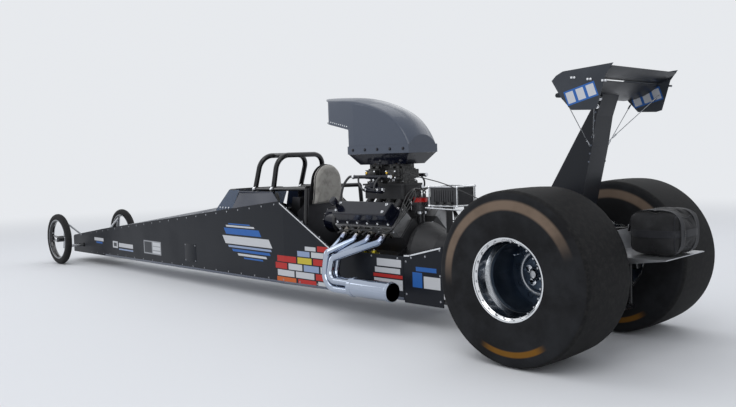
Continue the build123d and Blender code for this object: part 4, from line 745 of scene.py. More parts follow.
class Form:
    """One piece's mesh, put together from turned, flat, boxed and swept shapes."""

    def __init__(self):
        self.mesh = bmesh.new()

    def ring(self, centre, side, other, radius, segments):
        """Points on a circle, in the plane of side and other."""
        turns = [math.tau * i / segments for i in range(segments)]
        places = [centre + radius * (math.cos(a) * side + math.sin(a) * other) for a in turns]
        return [self.mesh.verts.new(place) for place in places]

    def skin(self, rings, loop=False):
        """Faces from each ring to the next; a ring of one vertex is a pole."""
        pairs = list(zip(rings, rings[1:])) + ([(rings[-1], rings[0])] if loop else [])
        for low, high in pairs:
            for i in range(max(len(low), len(high))):
                j = (i + 1) % max(len(low), len(high))
                corners = [low[i % len(low)], low[j % len(low)], high[j % len(high)], high[i % len(high)]]
                corners = [v for n, v in enumerate(corners) if v not in corners[:n]]
                if len(corners) > 2:
                    self.mesh.faces.new(corners)
        return self

    def turned(self, profile, foot, axis, segments=32, loop=False):
        """Revolve pairs of radius and height about an axis that starts at the foot."""
        axis = Vector(axis).normalized()
        side = axis.orthogonal().normalized()
        other = axis.cross(side)
        rings = []
        for radius, height in profile:
            centre = Vector(foot) + axis * height
            rings.append(self.ring(centre, side, other, radius,
                                   segments) if radius else [self.mesh.verts.new(centre)])
        return self.skin(rings, loop)

    def solid(self, corners, foot, axis, segments=32):
        """Revolve corners, pairs of radius and height, and close the shape flat at both ends."""
        profile = [(0, corners[0][1]), *corners, (0, corners[-1][1])]
        return self.turned(profile, foot, axis, segments)

    def hoop(self, corners, foot, axis, segments=32):
        """Revolve a closed section, pairs of radius and height, into a ring."""
        return self.turned(corners, foot, axis, segments, loop=True)

    def rod(self, start, end, radius, chamfer=None, segments=16):
        """A round bar with broken edges."""
        start, end = Vector(start), Vector(end)
        length = (end - start).length
        c = min(radius * 0.25, length * 0.2) if chamfer is None else chamfer
        return self.solid([(radius - c, 0), (radius, c), (radius, length - c), (radius - c, length)], start,
                          end - start, segments)

    def hexagon(self, start, end, radius):
        """A hexagonal fitting with broken edges."""
        return self.rod(start, end, radius, radius * 0.15, 6)

    def block(self, centre, size, turn=None, bevel=0.003):
        """A box with rounded edges."""
        turn = (turn or Matrix.Identity(3)).to_4x4()
        matrix = Matrix.Translation(centre) @ turn @ Matrix.Diagonal((*size, 1))
        made = bmesh.ops.create_cube(self.mesh, size=1.0, matrix=matrix)["verts"]
        edges = list(dict.fromkeys(edge for vert in made for edge in vert.link_edges))
        bmesh.ops.bevel(self.mesh, geom=edges, offset=bevel, segments=2, profile=0.5, affect="EDGES")
        return self

    def plate(self, outline, depth, bevel):
        """A flat sheet with broken edges, from its outline and the step to its other face."""
        low = [self.mesh.verts.new(point) for point in outline]
        high = [self.mesh.verts.new(Vector(point) + Vector(depth)) for point in outline]
        self.mesh.faces.new(low[::-1])
        self.mesh.faces.new(high)
        self.skin([low, high])
        edges = dict.fromkeys(edge for vert in low + high for edge in vert.link_edges)
        rim = [edge for edge in edges if any(all(v in ring for v in edge.verts) for ring in (low, high))]
        bmesh.ops.bevel(self.mesh, geom=rim, offset=bevel, segments=2, profile=0.5, affect="EDGES")
        return self

    def swept(self, line, section, facing):
        """Carry a flat section, pairs of across and up, along a line; facing gives up at each point."""
        rings = []
        for i, point in enumerate(line):
            ahead = (line[min(i + 1, len(line) - 1)] - line[max(i - 1, 0)]).normalized()
            up = facing(i)
            up = (up - ahead * up.dot(ahead)).normalized()
            across = ahead.cross(up)
            rings.append([self.mesh.verts.new(point + across * a + up * u) for a, u in section])
        self.skin(rings)
        self.mesh.faces.new(rings[0][::-1])
        self.mesh.faces.new(rings[-1])
        return self

    def strap(self, line, width, thick, facing):
        """Flat webbing along a line, lying on the side away from facing."""
        w, t = width / 2, thick
        section = [(-w, t * 0.2), (-w * 0.94, t), (w * 0.94, t), (w, t * 0.2), (w * 0.94, 0), (-w * 0.94, 0)]
        return self.swept(line, section, facing)

    def piece(self, name, slot, finish=None, body="chassis"):
        """Close the piece, smooth but for its creases; its finish is the slot's own unless one is given."""
        bmesh.ops.recalc_face_normals(self.mesh, faces=self.mesh.faces)
        mesh = bpy.data.meshes.new(name)
        self.mesh.to_mesh(mesh)
        self.mesh.free()
        mesh.shade_smooth()
        mesh.set_sharp_from_angle(angle=CREASE)
        mesh.materials.append(finish_of(finish or slot))
        return settle(placed(name, mesh), body)


CREASE = math.radians(35)


def placed(name, mesh):
    """A new object in the scene."""
    piece = bpy.data.objects.new(name, mesh)
    bpy.context.scene.collection.objects.link(piece)
    return piece


def settle(piece, body):
    """Put a finished piece on its body."""
    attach(piece, body)
    return piece


def kept_plain(piece):
    """Keep what a piece's modifiers make as its own mesh."""
    shape = piece.evaluated_get(bpy.context.evaluated_depsgraph_get())
    plain = bpy.data.meshes.new_from_object(shape)
    piece.modifiers.clear()
    piece.data = plain


def skin_of(piece):
    """The surface of an object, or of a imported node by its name, for rays and nearest points."""
    return BVHTree.FromObject(frame["nodes"].get(piece, piece), bpy.context.evaluated_depsgraph_get())


def landings(skin, rays):
    """Where rays, each a start and a way, land on a skin, with the skin's normal there."""
    found = [skin.ray_cast(start, Vector(way)) for start, way in rays]
    return [(place, normal) for place, normal, _, _ in found if place]


class Pattern(Graph):
    """A Geometry Nodes tree with named sizes, run over a mesh whose result is kept as plain."""

    def __init__(self, name, sizes):
        super().__init__(bpy.data.node_groups.new(name, "GeometryNodeTree"))
        kinds = {int: "NodeSocketInt", float: "NodeSocketFloat"}
        self.tree.interface.new_socket("Geometry", in_out="INPUT", socket_type="NodeSocketGeometry")
        self.tree.interface.new_socket("Finish", in_out="INPUT", socket_type="NodeSocketMaterial")
        for title, value in sizes.items():
            made = self.tree.interface.new_socket(title, in_out="INPUT", socket_type=kinds[type(value)])
            made.default_value = value
        self.tree.interface.new_socket("Geometry", in_out="OUTPUT", socket_type="NodeSocketGeometry")
        self.entry = self.tree.nodes.new("NodeGroupInput")

    def given(self, title):
        return Wire(self, self.entry.outputs[title])

    def join(self, *shapes):
        made = self.tree.nodes.new("GeometryNodeJoinGeometry")
        for shape in reversed(shapes):
            self.tree.links.new(shape.socket, made.inputs[0])
        return Wire(self, made.outputs[0])

    def lifted(self, shape, height):
        """A shape moved up its own axis."""
        step = self.node("ShaderNodeCombineXYZ", {}, {"Z": height})
        return self.node("GeometryNodeTransform", {}, {"Geometry": shape, "Translation": step})

    def facing(self, name="facing"):
        """Turns that stand each copy up along a direction kept with the points."""
        kept = self.node("GeometryNodeInputNamedAttribute", {"data_type": "FLOAT_VECTOR"}, {"Name": name})
        return self.node("FunctionNodeAlignRotationToVector", {"axis": "Z"}, {"Vector": kept})

    def deliver(self, shape):
        """End the tree with real geometry in the finish that was given."""
        solid = self.node("GeometryNodeRealizeInstances", {}, {"Geometry": shape})
        painted = self.node("GeometryNodeSetMaterial", {},
                            {"Geometry": solid, "Material": self.given("Finish")})
        self.node("NodeGroupOutput", {}, {"Geometry": painted})
        return self.tree


def fastener_tree():
    """A washer, a head and its raised crown at each point, standing along its facing."""
    pattern = Pattern("fasteners", {"Head radius": 0.005, "Head height": 0.003, "Sides": 10})
    radius, height, sides = (pattern.given(title) for title in ("Head radius", "Head height", "Sides"))
    washer = pattern.node("GeometryNodeMeshCylinder", {}, {"Vertices": 14, "Radius": radius * 1.5,
                                                           "Depth": height * 0.3})
    head = pattern.node("GeometryNodeMeshCylinder", {},
                        {"Vertices": sides, "Radius": radius, "Depth": height})
    crown = pattern.node("GeometryNodeMeshCone", {}, {"Vertices": sides, "Radius Top": radius * 0.62,
                                                      "Radius Bottom": radius, "Depth": height * 0.35})
    copy = pattern.join(pattern.lifted(washer, height * 0.15), pattern.lifted(head, height * 0.5),
                        pattern.lifted(crown, height))
    points = pattern.node("GeometryNodeInstanceOnPoints", {}, {
        "Points": pattern.given("Geometry"), "Instance": copy, "Rotation": pattern.facing()})
    return pattern.deliver(points)


def hose_tree():
    """A round hose along each line, ribbed where the rib depth isn't 0."""
    pattern = Pattern("hoses", {"Radius": 0.005, "Rib depth": 0.0, "Rib pitch": 0.006, "Sides": 10})
    lines = pattern.node("GeometryNodeMeshToCurve", {}, {"Mesh": pattern.given("Geometry")})
    fine = pattern.node("GeometryNodeResampleCurve", {"mode": "LENGTH"},
                        {"Curve": lines, "Length": pattern.given("Rib pitch") / 4})
    along = pattern.node("GeometryNodeSplineParameter", {}, {}, "Length")
    wave = (along * math.tau / pattern.given("Rib pitch")).sin()
    section = pattern.node("GeometryNodeCurvePrimitiveCircle", {},
                           {"Resolution": pattern.given("Sides"), "Radius": pattern.given("Radius")})
    hose = pattern.node("GeometryNodeCurveToMesh", {}, {"Curve": fine, "Profile Curve": section,
                                                        "Scale": 1.0 + wave * pattern.given("Rib depth"),
                                                        "Fill Caps": True})
    return pattern.deliver(pattern.node("GeometryNodeSetShadeSmooth", {}, {"Geometry": hose}))


def stitch_tree():
    """Short raised stitches laid end to end along each line."""
    pattern = Pattern("stitches", {"Stitch length": 0.006, "Stitch radius": 0.0009})
    length, radius = pattern.given("Stitch length"), pattern.given("Stitch radius")
    lines = pattern.node("GeometryNodeMeshToCurve", {}, {"Mesh": pattern.given("Geometry")})
    beads = pattern.node("GeometryNodeCurveToPoints", {"mode": "LENGTH"},
                         {"Curve": lines, "Length": length * 1.5})
    tangent = Wire(pattern, beads.socket.node.outputs["Tangent"])
    turn = pattern.node("FunctionNodeAlignRotationToVector", {"axis": "Z"}, {"Vector": tangent})
    ball = pattern.node("GeometryNodeMeshUVSphere", {}, {"Segments": 6, "Rings": 4, "Radius": radius})
    shape = pattern.node("ShaderNodeCombineXYZ", {}, {"X": 1.0, "Y": 1.0, "Z": length / (radius * 2)})
    long_ball = pattern.node("GeometryNodeTransform", {}, {"Geometry": ball, "Scale": shape})
    return pattern.deliver(pattern.node("GeometryNodeInstanceOnPoints", {},
                                        {"Points": beads, "Instance": long_ball, "Rotation": turn}))


TREES = {"fasteners": fastener_tree, "hoses": hose_tree, "stitches": stitch_tree}


def grown(name, body, finish, kind, mesh, sizes):
    """Run one of the trees over a mesh and keep the result as a plain piece."""
    tree = bpy.data.node_groups.get(kind) or TREES[kind]()
    piece = placed(name, mesh)
    modifier = piece.modifiers.new(kind, "NODES")
    modifier.node_group = tree
    wanted = {"Finish": finish_of(finish), **sizes}
    for socket in tree.interface.items_tree:
        if socket.in_out == "INPUT" and socket.name in wanted:
            modifier[socket.identifier] = wanted[socket.name]
    kept_plain(piece)
    return settle(piece, body)


def fasteners(name, spots, radius, height, sides=10, finish="bright_fastener",
              body="chassis"):
    """One fastener at each spot, a pair of its place and the way that it faces."""
    mesh = bpy.data.meshes.new(name)
    mesh.from_pydata([place for place, _ in spots], [], [])
    kept = mesh.attributes.new("facing", "FLOAT_VECTOR", "POINT")
    for point, (_, facing) in zip(kept.data, spots):
        point.vector = facing
    sizes = {"Head radius": radius, "Head height": height, "Sides": sides}
    return grown(name, body, finish, "fasteners", mesh, sizes)


def path_mesh(name, lines):
    """Lines of points as one mesh of edges."""
    points, edges = [], []
    for line in lines:
        first = len(points)
        points += line
        edges += [(first + i, first + i + 1) for i in range(len(line) - 1)]
    mesh = bpy.data.meshes.new(name)
    mesh.from_pydata(points, edges, [])
    return mesh


def hoses(name, routes, radius, rib_depth=0.0, rib_pitch=0.012, sides=10, finish="hose_rubber"):
    """A hose, lead or pipe along the soft line of each route."""
    mesh = path_mesh(name, [smooth_line(route) for route in routes])
    sizes = {"Radius": radius, "Rib depth": rib_depth, "Rib pitch": rib_pitch, "Sides": sides}
    return grown(name, "chassis", finish, "hoses", mesh, sizes)


def stitches(name, lines, length, radius):
    """A row of stitches along each line."""
    sizes = {"Stitch length": length, "Stitch radius": radius}
    return grown(name, "chassis", "thread", "stitches", path_mesh(name, lines), sizes)


# Sizes and colours that a user would change

def colour(name, description, default):
    """A colour that a user can change."""
    return FloatVectorProperty(name=name, description=description, default=default, subtype="COLOR", size=3,
                               min=0.0, max=1.0)


class FinishSettings(bpy.types.PropertyGroup):
    """Colours of the large surfaces."""

    body_colour: colour("Body colour", "Charcoal of the body panels", (0.0125, 0.0145, 0.0195))
    tyre_colour: colour("Slick colour", "Rubber of the rear tyres", (0.0085, 0.0086, 0.0095))
    band_colour: colour("Band colour", "Gold band on the rear sidewalls", (0.20, 0.090, 0.012))


class StageSettings(bpy.types.PropertyGroup):
    """The studio round the car."""

    floor_colour: colour("Floor colour", "Pale floor and backdrop", (0.74, 0.75, 0.77))
    floor_radius: FloatProperty(name="Floor radius", description="Reach of the floor round the car",
                                unit="LENGTH", default=60.0, min=10.0)
    key_strength: FloatProperty(name="Key strength", description="Strength of the large key lamp in watts",
                                default=120.0, min=0.0)
    sky_strength: FloatProperty(name="Sky strength", description="Strength of the even light from all round",
                                default=0.72, min=0.0)


# Operators

class DRAGSTER_OT_finish_frame(bpy.types.Operator):
    """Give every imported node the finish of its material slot"""

    bl_idname = "dragster.finish_frame"
    bl_label = "Finish the packed nodes"

    def execute(self, context):
        slots = {part["node"]: part["material_slot"] for part in frame["record"]["subparts"]}
        for name, node in frame["nodes"].items():
            finish = finish_of(NODE_FINISHES.get(name, slots[name]))
            node.data.materials.clear()
            node.data.materials.append(finish)
        return {"FINISHED"}


class DRAGSTER_OT_panel_trim(bpy.types.Operator):
    """Fasten the body panels: screws, edge strips and an access hatch on each side"""

    bl_idname = "dragster.panel_trim"
    bl_label = "Panel trim"

    def execute(self, context):
        spots = []
        for side in SIDES:
            out = outward(side, TAPER).normalized()
            rows = [(2.46 + 0.172 * i, top_edge, -0.020) for i in range(19)]
            rows += [(1.18 + 0.198 * i, low_edge, 0.030) for i in range(23)]
            spots += [(at(x, side * half_body(x), edge(x) + rise), out) for x, edge, rise in rows]
            for x, z in ((1.16, 0.436), (1.40, 0.436), (1.64, 0.436), (1.93, 0.531), (2.12, 0.634),
                         (2.30, 0.731), (0.800, 0.51), (0.920, 0.462), (1.040, 0.447), (1.086, 0.42),
                         (1.086, 0.21), (0.80, 0.19), (0.80, 0.35)):
                spots.append((at(x, side * BODY_HALF, z), outward(side)))
            for x in (5.70, 5.86, 6.02):
                for z in (top_edge(x) - 0.024, low_edge(x) + 0.022):
                    spots.append((at(x, side * half_body(x), z), out))
        fasteners("panel_screws", spots, 0.0046, 0.0018, finish="steel_parts")
        self.edge_strips()
        self.hatches()
        return {"FINISHED"}

    def edge_strips(self):
        """Folded alloy strips on the panels' lower edge and on the quarter panels' flange."""
        form = Form()
        for side in SIDES:
            for x0, x1 in ((1.110, 2.349), (2.353, 5.648)):
                corners = [(x0, low_edge(x0) + 0.002), (x1, low_edge(x1) + 0.002), (x1, low_edge(x1) + 0.020),
                           (x0, low_edge(x0) + 0.020)]
                outline = [at(x, side * (half_body(x) + 0.0002), z) for x, z in corners]
                form.plate(outline, (0, side * 0.0022, 0), 0.0006)
        form.piece("lower_edge_strips", "body_paint", "edge_strip")
        form = Form()
        for side in SIDES:
            for x0, z0, x1, z1 in ((1.794, 0.444, 2.385, 0.770), (0.790, 0.529, 1.050, 0.465),
                                   (1.053, 0.464, 1.102, 0.460)):
                corners = [(x0, z0 - 0.010), (x1, z1 - 0.010), (x1, z1), (x0, z0)]
                form.plate([at(x, side * 0.3183, z) for x, z in corners], (0, side * 0.0024, 0), 0.0007)
        form.piece("polished_edges", "sheet_alloy", "polished_sheet")

    def hatches(self):
        """A small screwed hatch on each side of the long panels."""
        form, spots = Form(), []
        for side in SIDES:
            corners = [(3.69, 0.205), (3.89, 0.205), (3.89, 0.365), (3.69, 0.365)]
            outline = [at(x, side * (half_body(x) + 0.0002), z) for x, z in corners]
            form.plate(outline, (0, side * 0.0018, 0), 0.0008)
            for x, z in ((3.702, 0.217), (3.878, 0.217), (3.878, 0.353), (3.702, 0.353)):
                spots.append((at(x, side * (half_body(x) + 0.0018), z), outward(side, 0.042)))
        form.piece("side_hatches", "body_paint", "side_paint")
        fasteners("hatch_screws", spots, 0.0042, 0.0016, finish="steel_parts")


class DRAGSTER_OT_deck_trim(bpy.types.Operator):
    """Trim the deck, the windscreen and the cockpit's edge"""

    bl_idname = "dragster.deck_trim"
    bl_label = "Deck and windscreen trim"

    def execute(self, context):
        screen, deck = skin_of("windscreen"), skin_of("top_deck")
        rays = [(at(3.155 + 0.048 * i, side * 0.5, 0.706), (0, -side, 0)) for side in SIDES for i in range(6)]
        rays += [(at(3.8, 0.075 * (i - 2), 0.716), (-1, 0, 0)) for i in range(5)]
        fasteners("screen_screws", landings(screen, rays), 0.0050, 0.0022)
        self.screen_edging(screen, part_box("windscreen")[1].z)
        self.deck_screws(deck)
        self.cockpit_lining(deck)
        return {"FINISHED"}

    def screen_edging(self, screen, top):
        """A soft rubber bead on the windscreen's upper edge."""
        sunk = 0.0035
        rays = [(at(3.05, 0, top - sunk), spoke(math.radians(-88 + 176 * i / 24), "Z")) for i in range(25)]
        line = [place + Vector((0, 0, sunk)) for place, _ in landings(screen, rays)]
        hoses("screen_bead", [line], 0.0042)

    def deck_screws(self, deck):
        """Screws down both edges of the deck, set into its crown."""
        rays = []
        for side in SIDES:
            for x in (3.16 + 0.215 * i for i in range(12)):
                rays.append((at(x, side * (half_body(x) - 0.030), OVERHEAD), (0, 0, -1)))
        fasteners("deck_screws", landings(deck, rays), 0.0052, 0.0020)

    def cockpit_lining(self, deck):
        """A rolled rubber edge round the deck's cockpit opening."""
        right = [self.on_deck(deck, 3.085 + 0.033 * i, -0.2325) for i in range(9)]
        front = [self.on_deck(deck, x, y) for x, y in ((3.3715, -0.165), (3.3765, 0), (3.3715, 0.165))]
        left = [self.on_deck(deck, 3.085 + 0.033 * i, 0.2325) for i in range(8, -1, -1)]
        hoses("cockpit_edging", [right + front + left], 0.0048)

    def on_deck(self, deck, x, y):
        """A point just over the deck, or beside its edge where the opening starts."""
        place = deck.ray_cast(at(x, y, OVERHEAD), Vector((0, 0, -1)))[0]
        if not place or place.z < 0.5:
            place = deck.find_nearest(at(x, y, 0.70))[0]
        return place + Vector((0, 0, 0.002))


class DRAGSTER_OT_rear_wheels(bpy.types.Operator):
    """Fit nuts, bead screws, hub caps, valves and dish rings to the rear wheels"""

    bl_idname = "dragster.rear_wheels"
    bl_label = "Rear wheel hardware"

    def execute(self, context):
        nuts, screws = [], []
        caps, valves = Form(), Form()
        for side in SIDES:
            out = outward(side)
            for i in range(5):
                turn = math.radians(side * 90 + 72 * i)
                nuts.append((self.on_face(0.0603, turn, side * STUD_FACE), out))
            for i in range(24):
                turn = math.tau * (i + 0.5) / 24
                screws.append((self.on_face(0.1965, turn, side * LIP_FACE), out))
            foot = REAR_AXLE + Vector((0, side * HUB_END, 0))
            caps.solid([(0.028, 0), (0.028, 0.006), (0.022, 0.014), (0.020, 0.020), (0.008, 0.024)], foot,
                       out, 40)
            ring = REAR_AXLE + Vector((0, side * DISH_FACE, 0))
            caps.hoop([(0.110, 0), (0.128, 0), (0.128, 0.004), (0.124, 0.006), (0.114, 0.006),
                       (0.110, 0.004)], ring, out, 56)
            place = self.on_face(0.160, math.radians(35), side * DISH_FACE)
            valves.rod(place, place + out * 0.020, 0.0055)
            valves.rod(place + out * 0.020, place + out * 0.046, 0.0038)
            valves.rod(place + out * 0.038, place + out * 0.050, 0.0056)
        fasteners("wheel_nuts", nuts, 0.0135, 0.022, 6, body="rear_axle")
        fasteners("bead_screws", screws, 0.0036, 0.0024, finish="steel_parts", body="rear_axle")
        caps.piece("hub_caps", "rear_rim", "steel_parts", body="rear_axle")
        valves.piece("tyre_valves", "steel_parts", "bright_fastener", body="rear_axle")
        self.dish_rings()
        return {"FINISHED"}

    def on_face(self, radius, turn, y):
        """A point on a flat face of the wheel."""
        return Vector((REAR_AXLE.x + radius * math.cos(turn), y, REAR_AXLE.z + radius * math.sin(turn)))

    def dish_rings(self):
        """Raised rings pressed in the dish of each rear wheel."""
        form = Form()
        for side in SIDES:
            out = outward(side)
            for i in range(10):
                turn = math.tau * (i + 0.25) / 10
                foot = self.on_face(0.141, turn, side * 0.4340)
                profile = [(0.0135, 0), (0.0175, 0), (0.0175, 0.0025), (0.0160, 0.0040), (0.0145, 0.0040),
                           (0.0135, 0.0025)]
                form.hoop(profile, foot, out, 20)
        form.piece("dish_rings", "rear_rim", body="rear_axle")


class DRAGSTER_OT_front_wheels(bpy.types.Operator):
    """Fit bearing caps, hub screws, valves and bright rim edges to the front wheels"""

    bl_idname = "dragster.front_wheels"
    bl_label = "Front wheel hardware"

    def execute(self, context):
        for side, name in ((1, "left"), (-1, "right")):
            axle = Vector(JOINTS[f"front_wheel_{name}_spin"]["pos_m"])
            out = outward(side)
            body = f"front_wheel_{name}"
            caps = Form()
            caps.hoop([(0.0155, 0.0382), (0.0235, 0.0382), (0.0235, 0.043), (0.018, 0.052), (0.0155, 0.052)],
                      axle, out, 32)
            caps.piece(f"bearing_cap_{name}", "steel_parts", "polished_sheet", body=body)
            spots = []
            for i in range(10):
                turn = math.tau * i / 10
                spots.append((axle + Vector((0.028 * math.cos(turn), side * 0.030, 0.028 * math.sin(turn))),
                              out))
            fasteners(f"hub_screws_{name}", spots, 0.0028, 0.0026, body=body)
            valve = Form()
            turn = math.radians(20)
            foot = axle + Vector((0.203 * math.cos(turn), side * 0.004, 0.203 * math.sin(turn)))
            inward = (axle - foot).normalized()
            valve.rod(foot, foot + inward * 0.030, 0.0035)
            valve.rod(foot + inward * 0.022, foot + inward * 0.034, 0.0048)
            valve.piece(f"front_valve_{name}", "steel_parts", "bright_fastener", body=body)
            self.rim_ring(name, body, axle, out)
        return {"FINISHED"}

    def rim_ring(self, name, body, axle, out):
        """A bright machined ring at the rim's edge, on both faces."""
        form = Form()
        for face in (1, -1):
            form.hoop([(0.2105, 0.0270), (0.2175, 0.0270), (0.2175, 0.0292), (0.2140, 0.0300),
                       (0.2105, 0.0292)], axle, out * face, 72)
        form.piece(f"rim_edge_{name}", "steel_parts", body=body)


class DRAGSTER_OT_ignition(bpy.types.Operator):
    """Run boots and leads from the spark plugs to the distributor"""

    bl_idname = "dragster.ignition"
    bl_label = "Plugs, leads and distributor"

    def execute(self, context):
        boots, towers = Form(), Form()
        routes = []
        cap = at(DISTRIBUTOR_X, 0, 0.812)
        for side in SIDES:
            for i in range(4):
                x = ENGINE_X + (1.5 - i) * 0.124
                seat = on_bank(0.292, PLUG_ACROSS, side, x + 0.048)
                tip = seat + bank_out(side) * 0.044 + bank_up(side) * 0.026
                boots.rod(seat, seat + (tip - seat) * 0.3, 0.0105, segments=6)
                boots.solid([(0.0075, 0), (0.0098, 0.006), (0.0088, 0.030), (0.0062, 0.044)],
                            seat + (tip - seat) * 0.28, tip - seat, 16)
                rear = 1.205 - 0.012 * i
                turn = math.radians(45 + 90 * i) + (0 if side > 0 else math.radians(45))
                tower = cap + Vector((0.031 * math.cos(turn), 0.031 * math.sin(turn), 0))
                towers.solid([(0.0085, 0), (0.0075, 0.016), (0.0052, 0.022)], tower, (0, 0, 1), 14)
                end = seat + (tip - seat) * 1.15
                low = on_bank(0.333 + 0.010 * i, 0.108, side, x - 0.04)
                back = on_bank(0.345 + 0.010 * i, 0.106, side, rear)
                routes.append([end, low, on_bank(0.338 + 0.010 * i, 0.108, side, (x + rear) / 2 - 0.02), back,
                               at(rear - 0.03, side * (0.200 - 0.012 * i), 0.830 - 0.01 * i),
                               at(1.205, side * 0.085, 0.872), tower + Vector((0, 0, 0.040)),
                               tower + Vector((0, 0, 0.018))])
        boots.piece("plug_boots", "grip", "hose_rubber")
        towers.hoop([(0.040, 0), (0.0486, 0), (0.0486, 0.004), (0.040, 0.006)], at(DISTRIBUTOR_X, 0, 0.8065),
                    (0, 0, 1), 40)
        towers.piece("distributor_towers", "grip", "hose_rubber")
        hoses("plug_leads", routes, 0.0042, sides=8)
        self.body_details()
        return {"FINISHED"}

    def body_details(self):
        """Clips and a timing collar on the distributor's body, and the loom to the ignition box."""
        form = Form()
        centre = at(DISTRIBUTOR_X, 0, 0)
        for turn in (0.6, 0.6 + math.pi):
            out = spoke(turn, "Z")
            place = centre + out * 0.0635 + Vector((0, 0, 0.755))
            form.block(place, (0.005, 0.016, 0.060), Matrix.Rotation(turn, 3, "Z"), 0.0015)
        form.hoop([(0.028, 0.700), (0.040, 0.700), (0.040, 0.716), (0.028, 0.716)], centre, (0, 0, 1), 32)
        form.piece("distributor_clips", "steel_parts", "bright_fastener")
        loom = [[at(1.175, -0.03, 0.752), at(1.12, -0.03, 0.765), at(1.06, -0.01, 0.800),
                 at(1.005, 0.02, 0.812)], [at(1.175, 0.02, 0.750), at(1.13, 0.05, 0.772),
                                           at(1.07, 0.06, 0.822), at(1.005, 0.04, 0.832)]]
        hoses("ignition_loom", loom, 0.0065, 0.06, 0.006, finish="braided_hose")


class DRAGSTER_OT_engine_covers(bpy.types.Operator):
    """Bolt the valve covers down, and fit the breathers and the block's plugs, filter and oil lines"""

    bl_idname = "dragster.engine_covers"
    bl_label = "Valve cover hardware"

    def execute(self, context):
        spots = []
        rim, top = COVER_FOOT + 0.0140, COVER_FOOT + 0.098
        for side in SIDES:
            for i in range(6):
                x = ENGINE_X + (i - 2.5) * 0.098
                for across in (-0.0695, 0.0695):
                    spots.append((on_bank(rim, across, side, x), bank_up(side)))
        fasteners("cover_bolts", spots, 0.0062, 0.009, 6)
        breathers, nuts = Form(), []
        for side in SIDES:
            for x in (ENGINE_X - 0.225, ENGINE_X + 0.225):
                for across in (-0.044, 0.044):
                    nuts.append((on_bank(top, across * 0.72, side, x), bank_up(side)))
            foot = on_bank(top - 0.001, -0.010, side, ENGINE_X + 0.245)
            breathers.turned([(0, 0), (0.017, 0), (0.017, 0.010), (0.012, 0.013), (0.012, 0.022),
                              (0.026, 0.027), (0.028, 0.033), (0.028, 0.060), (0.024, 0.066), (0, 0.068)],
                             foot, bank_up(side), 32)
        breathers.piece("breathers", "black_alloy")
        fasteners("cover_studs", nuts, 0.0075, 0.008, 6)
        self.block_details()
        return {"FINISHED"}

    def block_details(self):
        """Core plugs, head bolts, sump rail bolts and an oil filter on the block."""
        form, spots = Form(), []
        for side in SIDES:
            for i in range(3):
                foot = at(ENGINE_X + (i - 1) * 0.165, side * BLOCK_SIDE, 0.392)
                form.solid([(0.024, -0.001), (0.026, 0.002), (0.024, 0.003), (0.021, -0.0005)], foot,
                           (0, side, 0), 28)
            for i in range(9):
                spots.append((at(ENGINE_X + (i - 4) * 0.066, side * 0.1305, 0.3150), Vector((0, side, -0.9))))
            for i in range(5):
                x = ENGINE_X + (i - 2) * 0.130
                spots.append((on_bank(0.305, PLUG_ACROSS, side, x), bank_out(side)))
        form.piece("core_plugs", "steel_parts")
        fasteners("block_bolts", spots, 0.0060, 0.006, 6)
        filters = Form()
        foot = at(1.655, BLOCK_SIDE, 0.352)
        filters.turned([(0, 0), (0.036, 0), (0.036, 0.008), (0.047, 0.012), (0.0475, 0.020), (0.0475, 0.100),
                        (0.044, 0.110), (0.026, 0.116), (0, 0.117)], foot, (0, 1, 0), 40)
        for i in range(14):
            turn = math.tau * i / 14
            out = spoke(turn)
            filters.rod(foot + out * 0.0468 + Vector((0, 0.074, 0)),
                        foot + out * 0.0462 + Vector((0, 0.108, 0)), 0.0028, segments=8)
        filters.piece("oil_filter", "black_alloy", "anodised_purple")
        taps = Form()
        for x, y, z, length in ((1.515, 0.152, 0.425, 0.055), (1.395, 0.152, 0.405, 0.045)):
            taps.hexagon(at(x, y, z), at(x, y + 0.014, z), 0.017)
            taps.rod(at(x, y + 0.014, z), at(x, y + length, z), 0.0125)
            taps.hexagon(at(x, y + length, z), at(x, y + length + 0.013, z), 0.0165)
        taps.piece("oil_line_fittings", "steel_parts", "gold_fitting")
        lines = [[at(1.515, 0.219, 0.425), at(1.512, 0.245, 0.424), at(1.46, 0.262, 0.395),
                  at(1.30, 0.250, 0.330), at(1.12, 0.22, 0.290), at(0.96, 0.19, 0.285)],
                 [at(1.395, 0.209, 0.405), at(1.39, 0.232, 0.402), at(1.32, 0.240, 0.350),
                  at(1.16, 0.215, 0.262), at(0.98, 0.19, 0.245)]]
        hoses("oil_lines", lines, 0.0095, 0.05, 0.007, 12, finish="braided_hose")


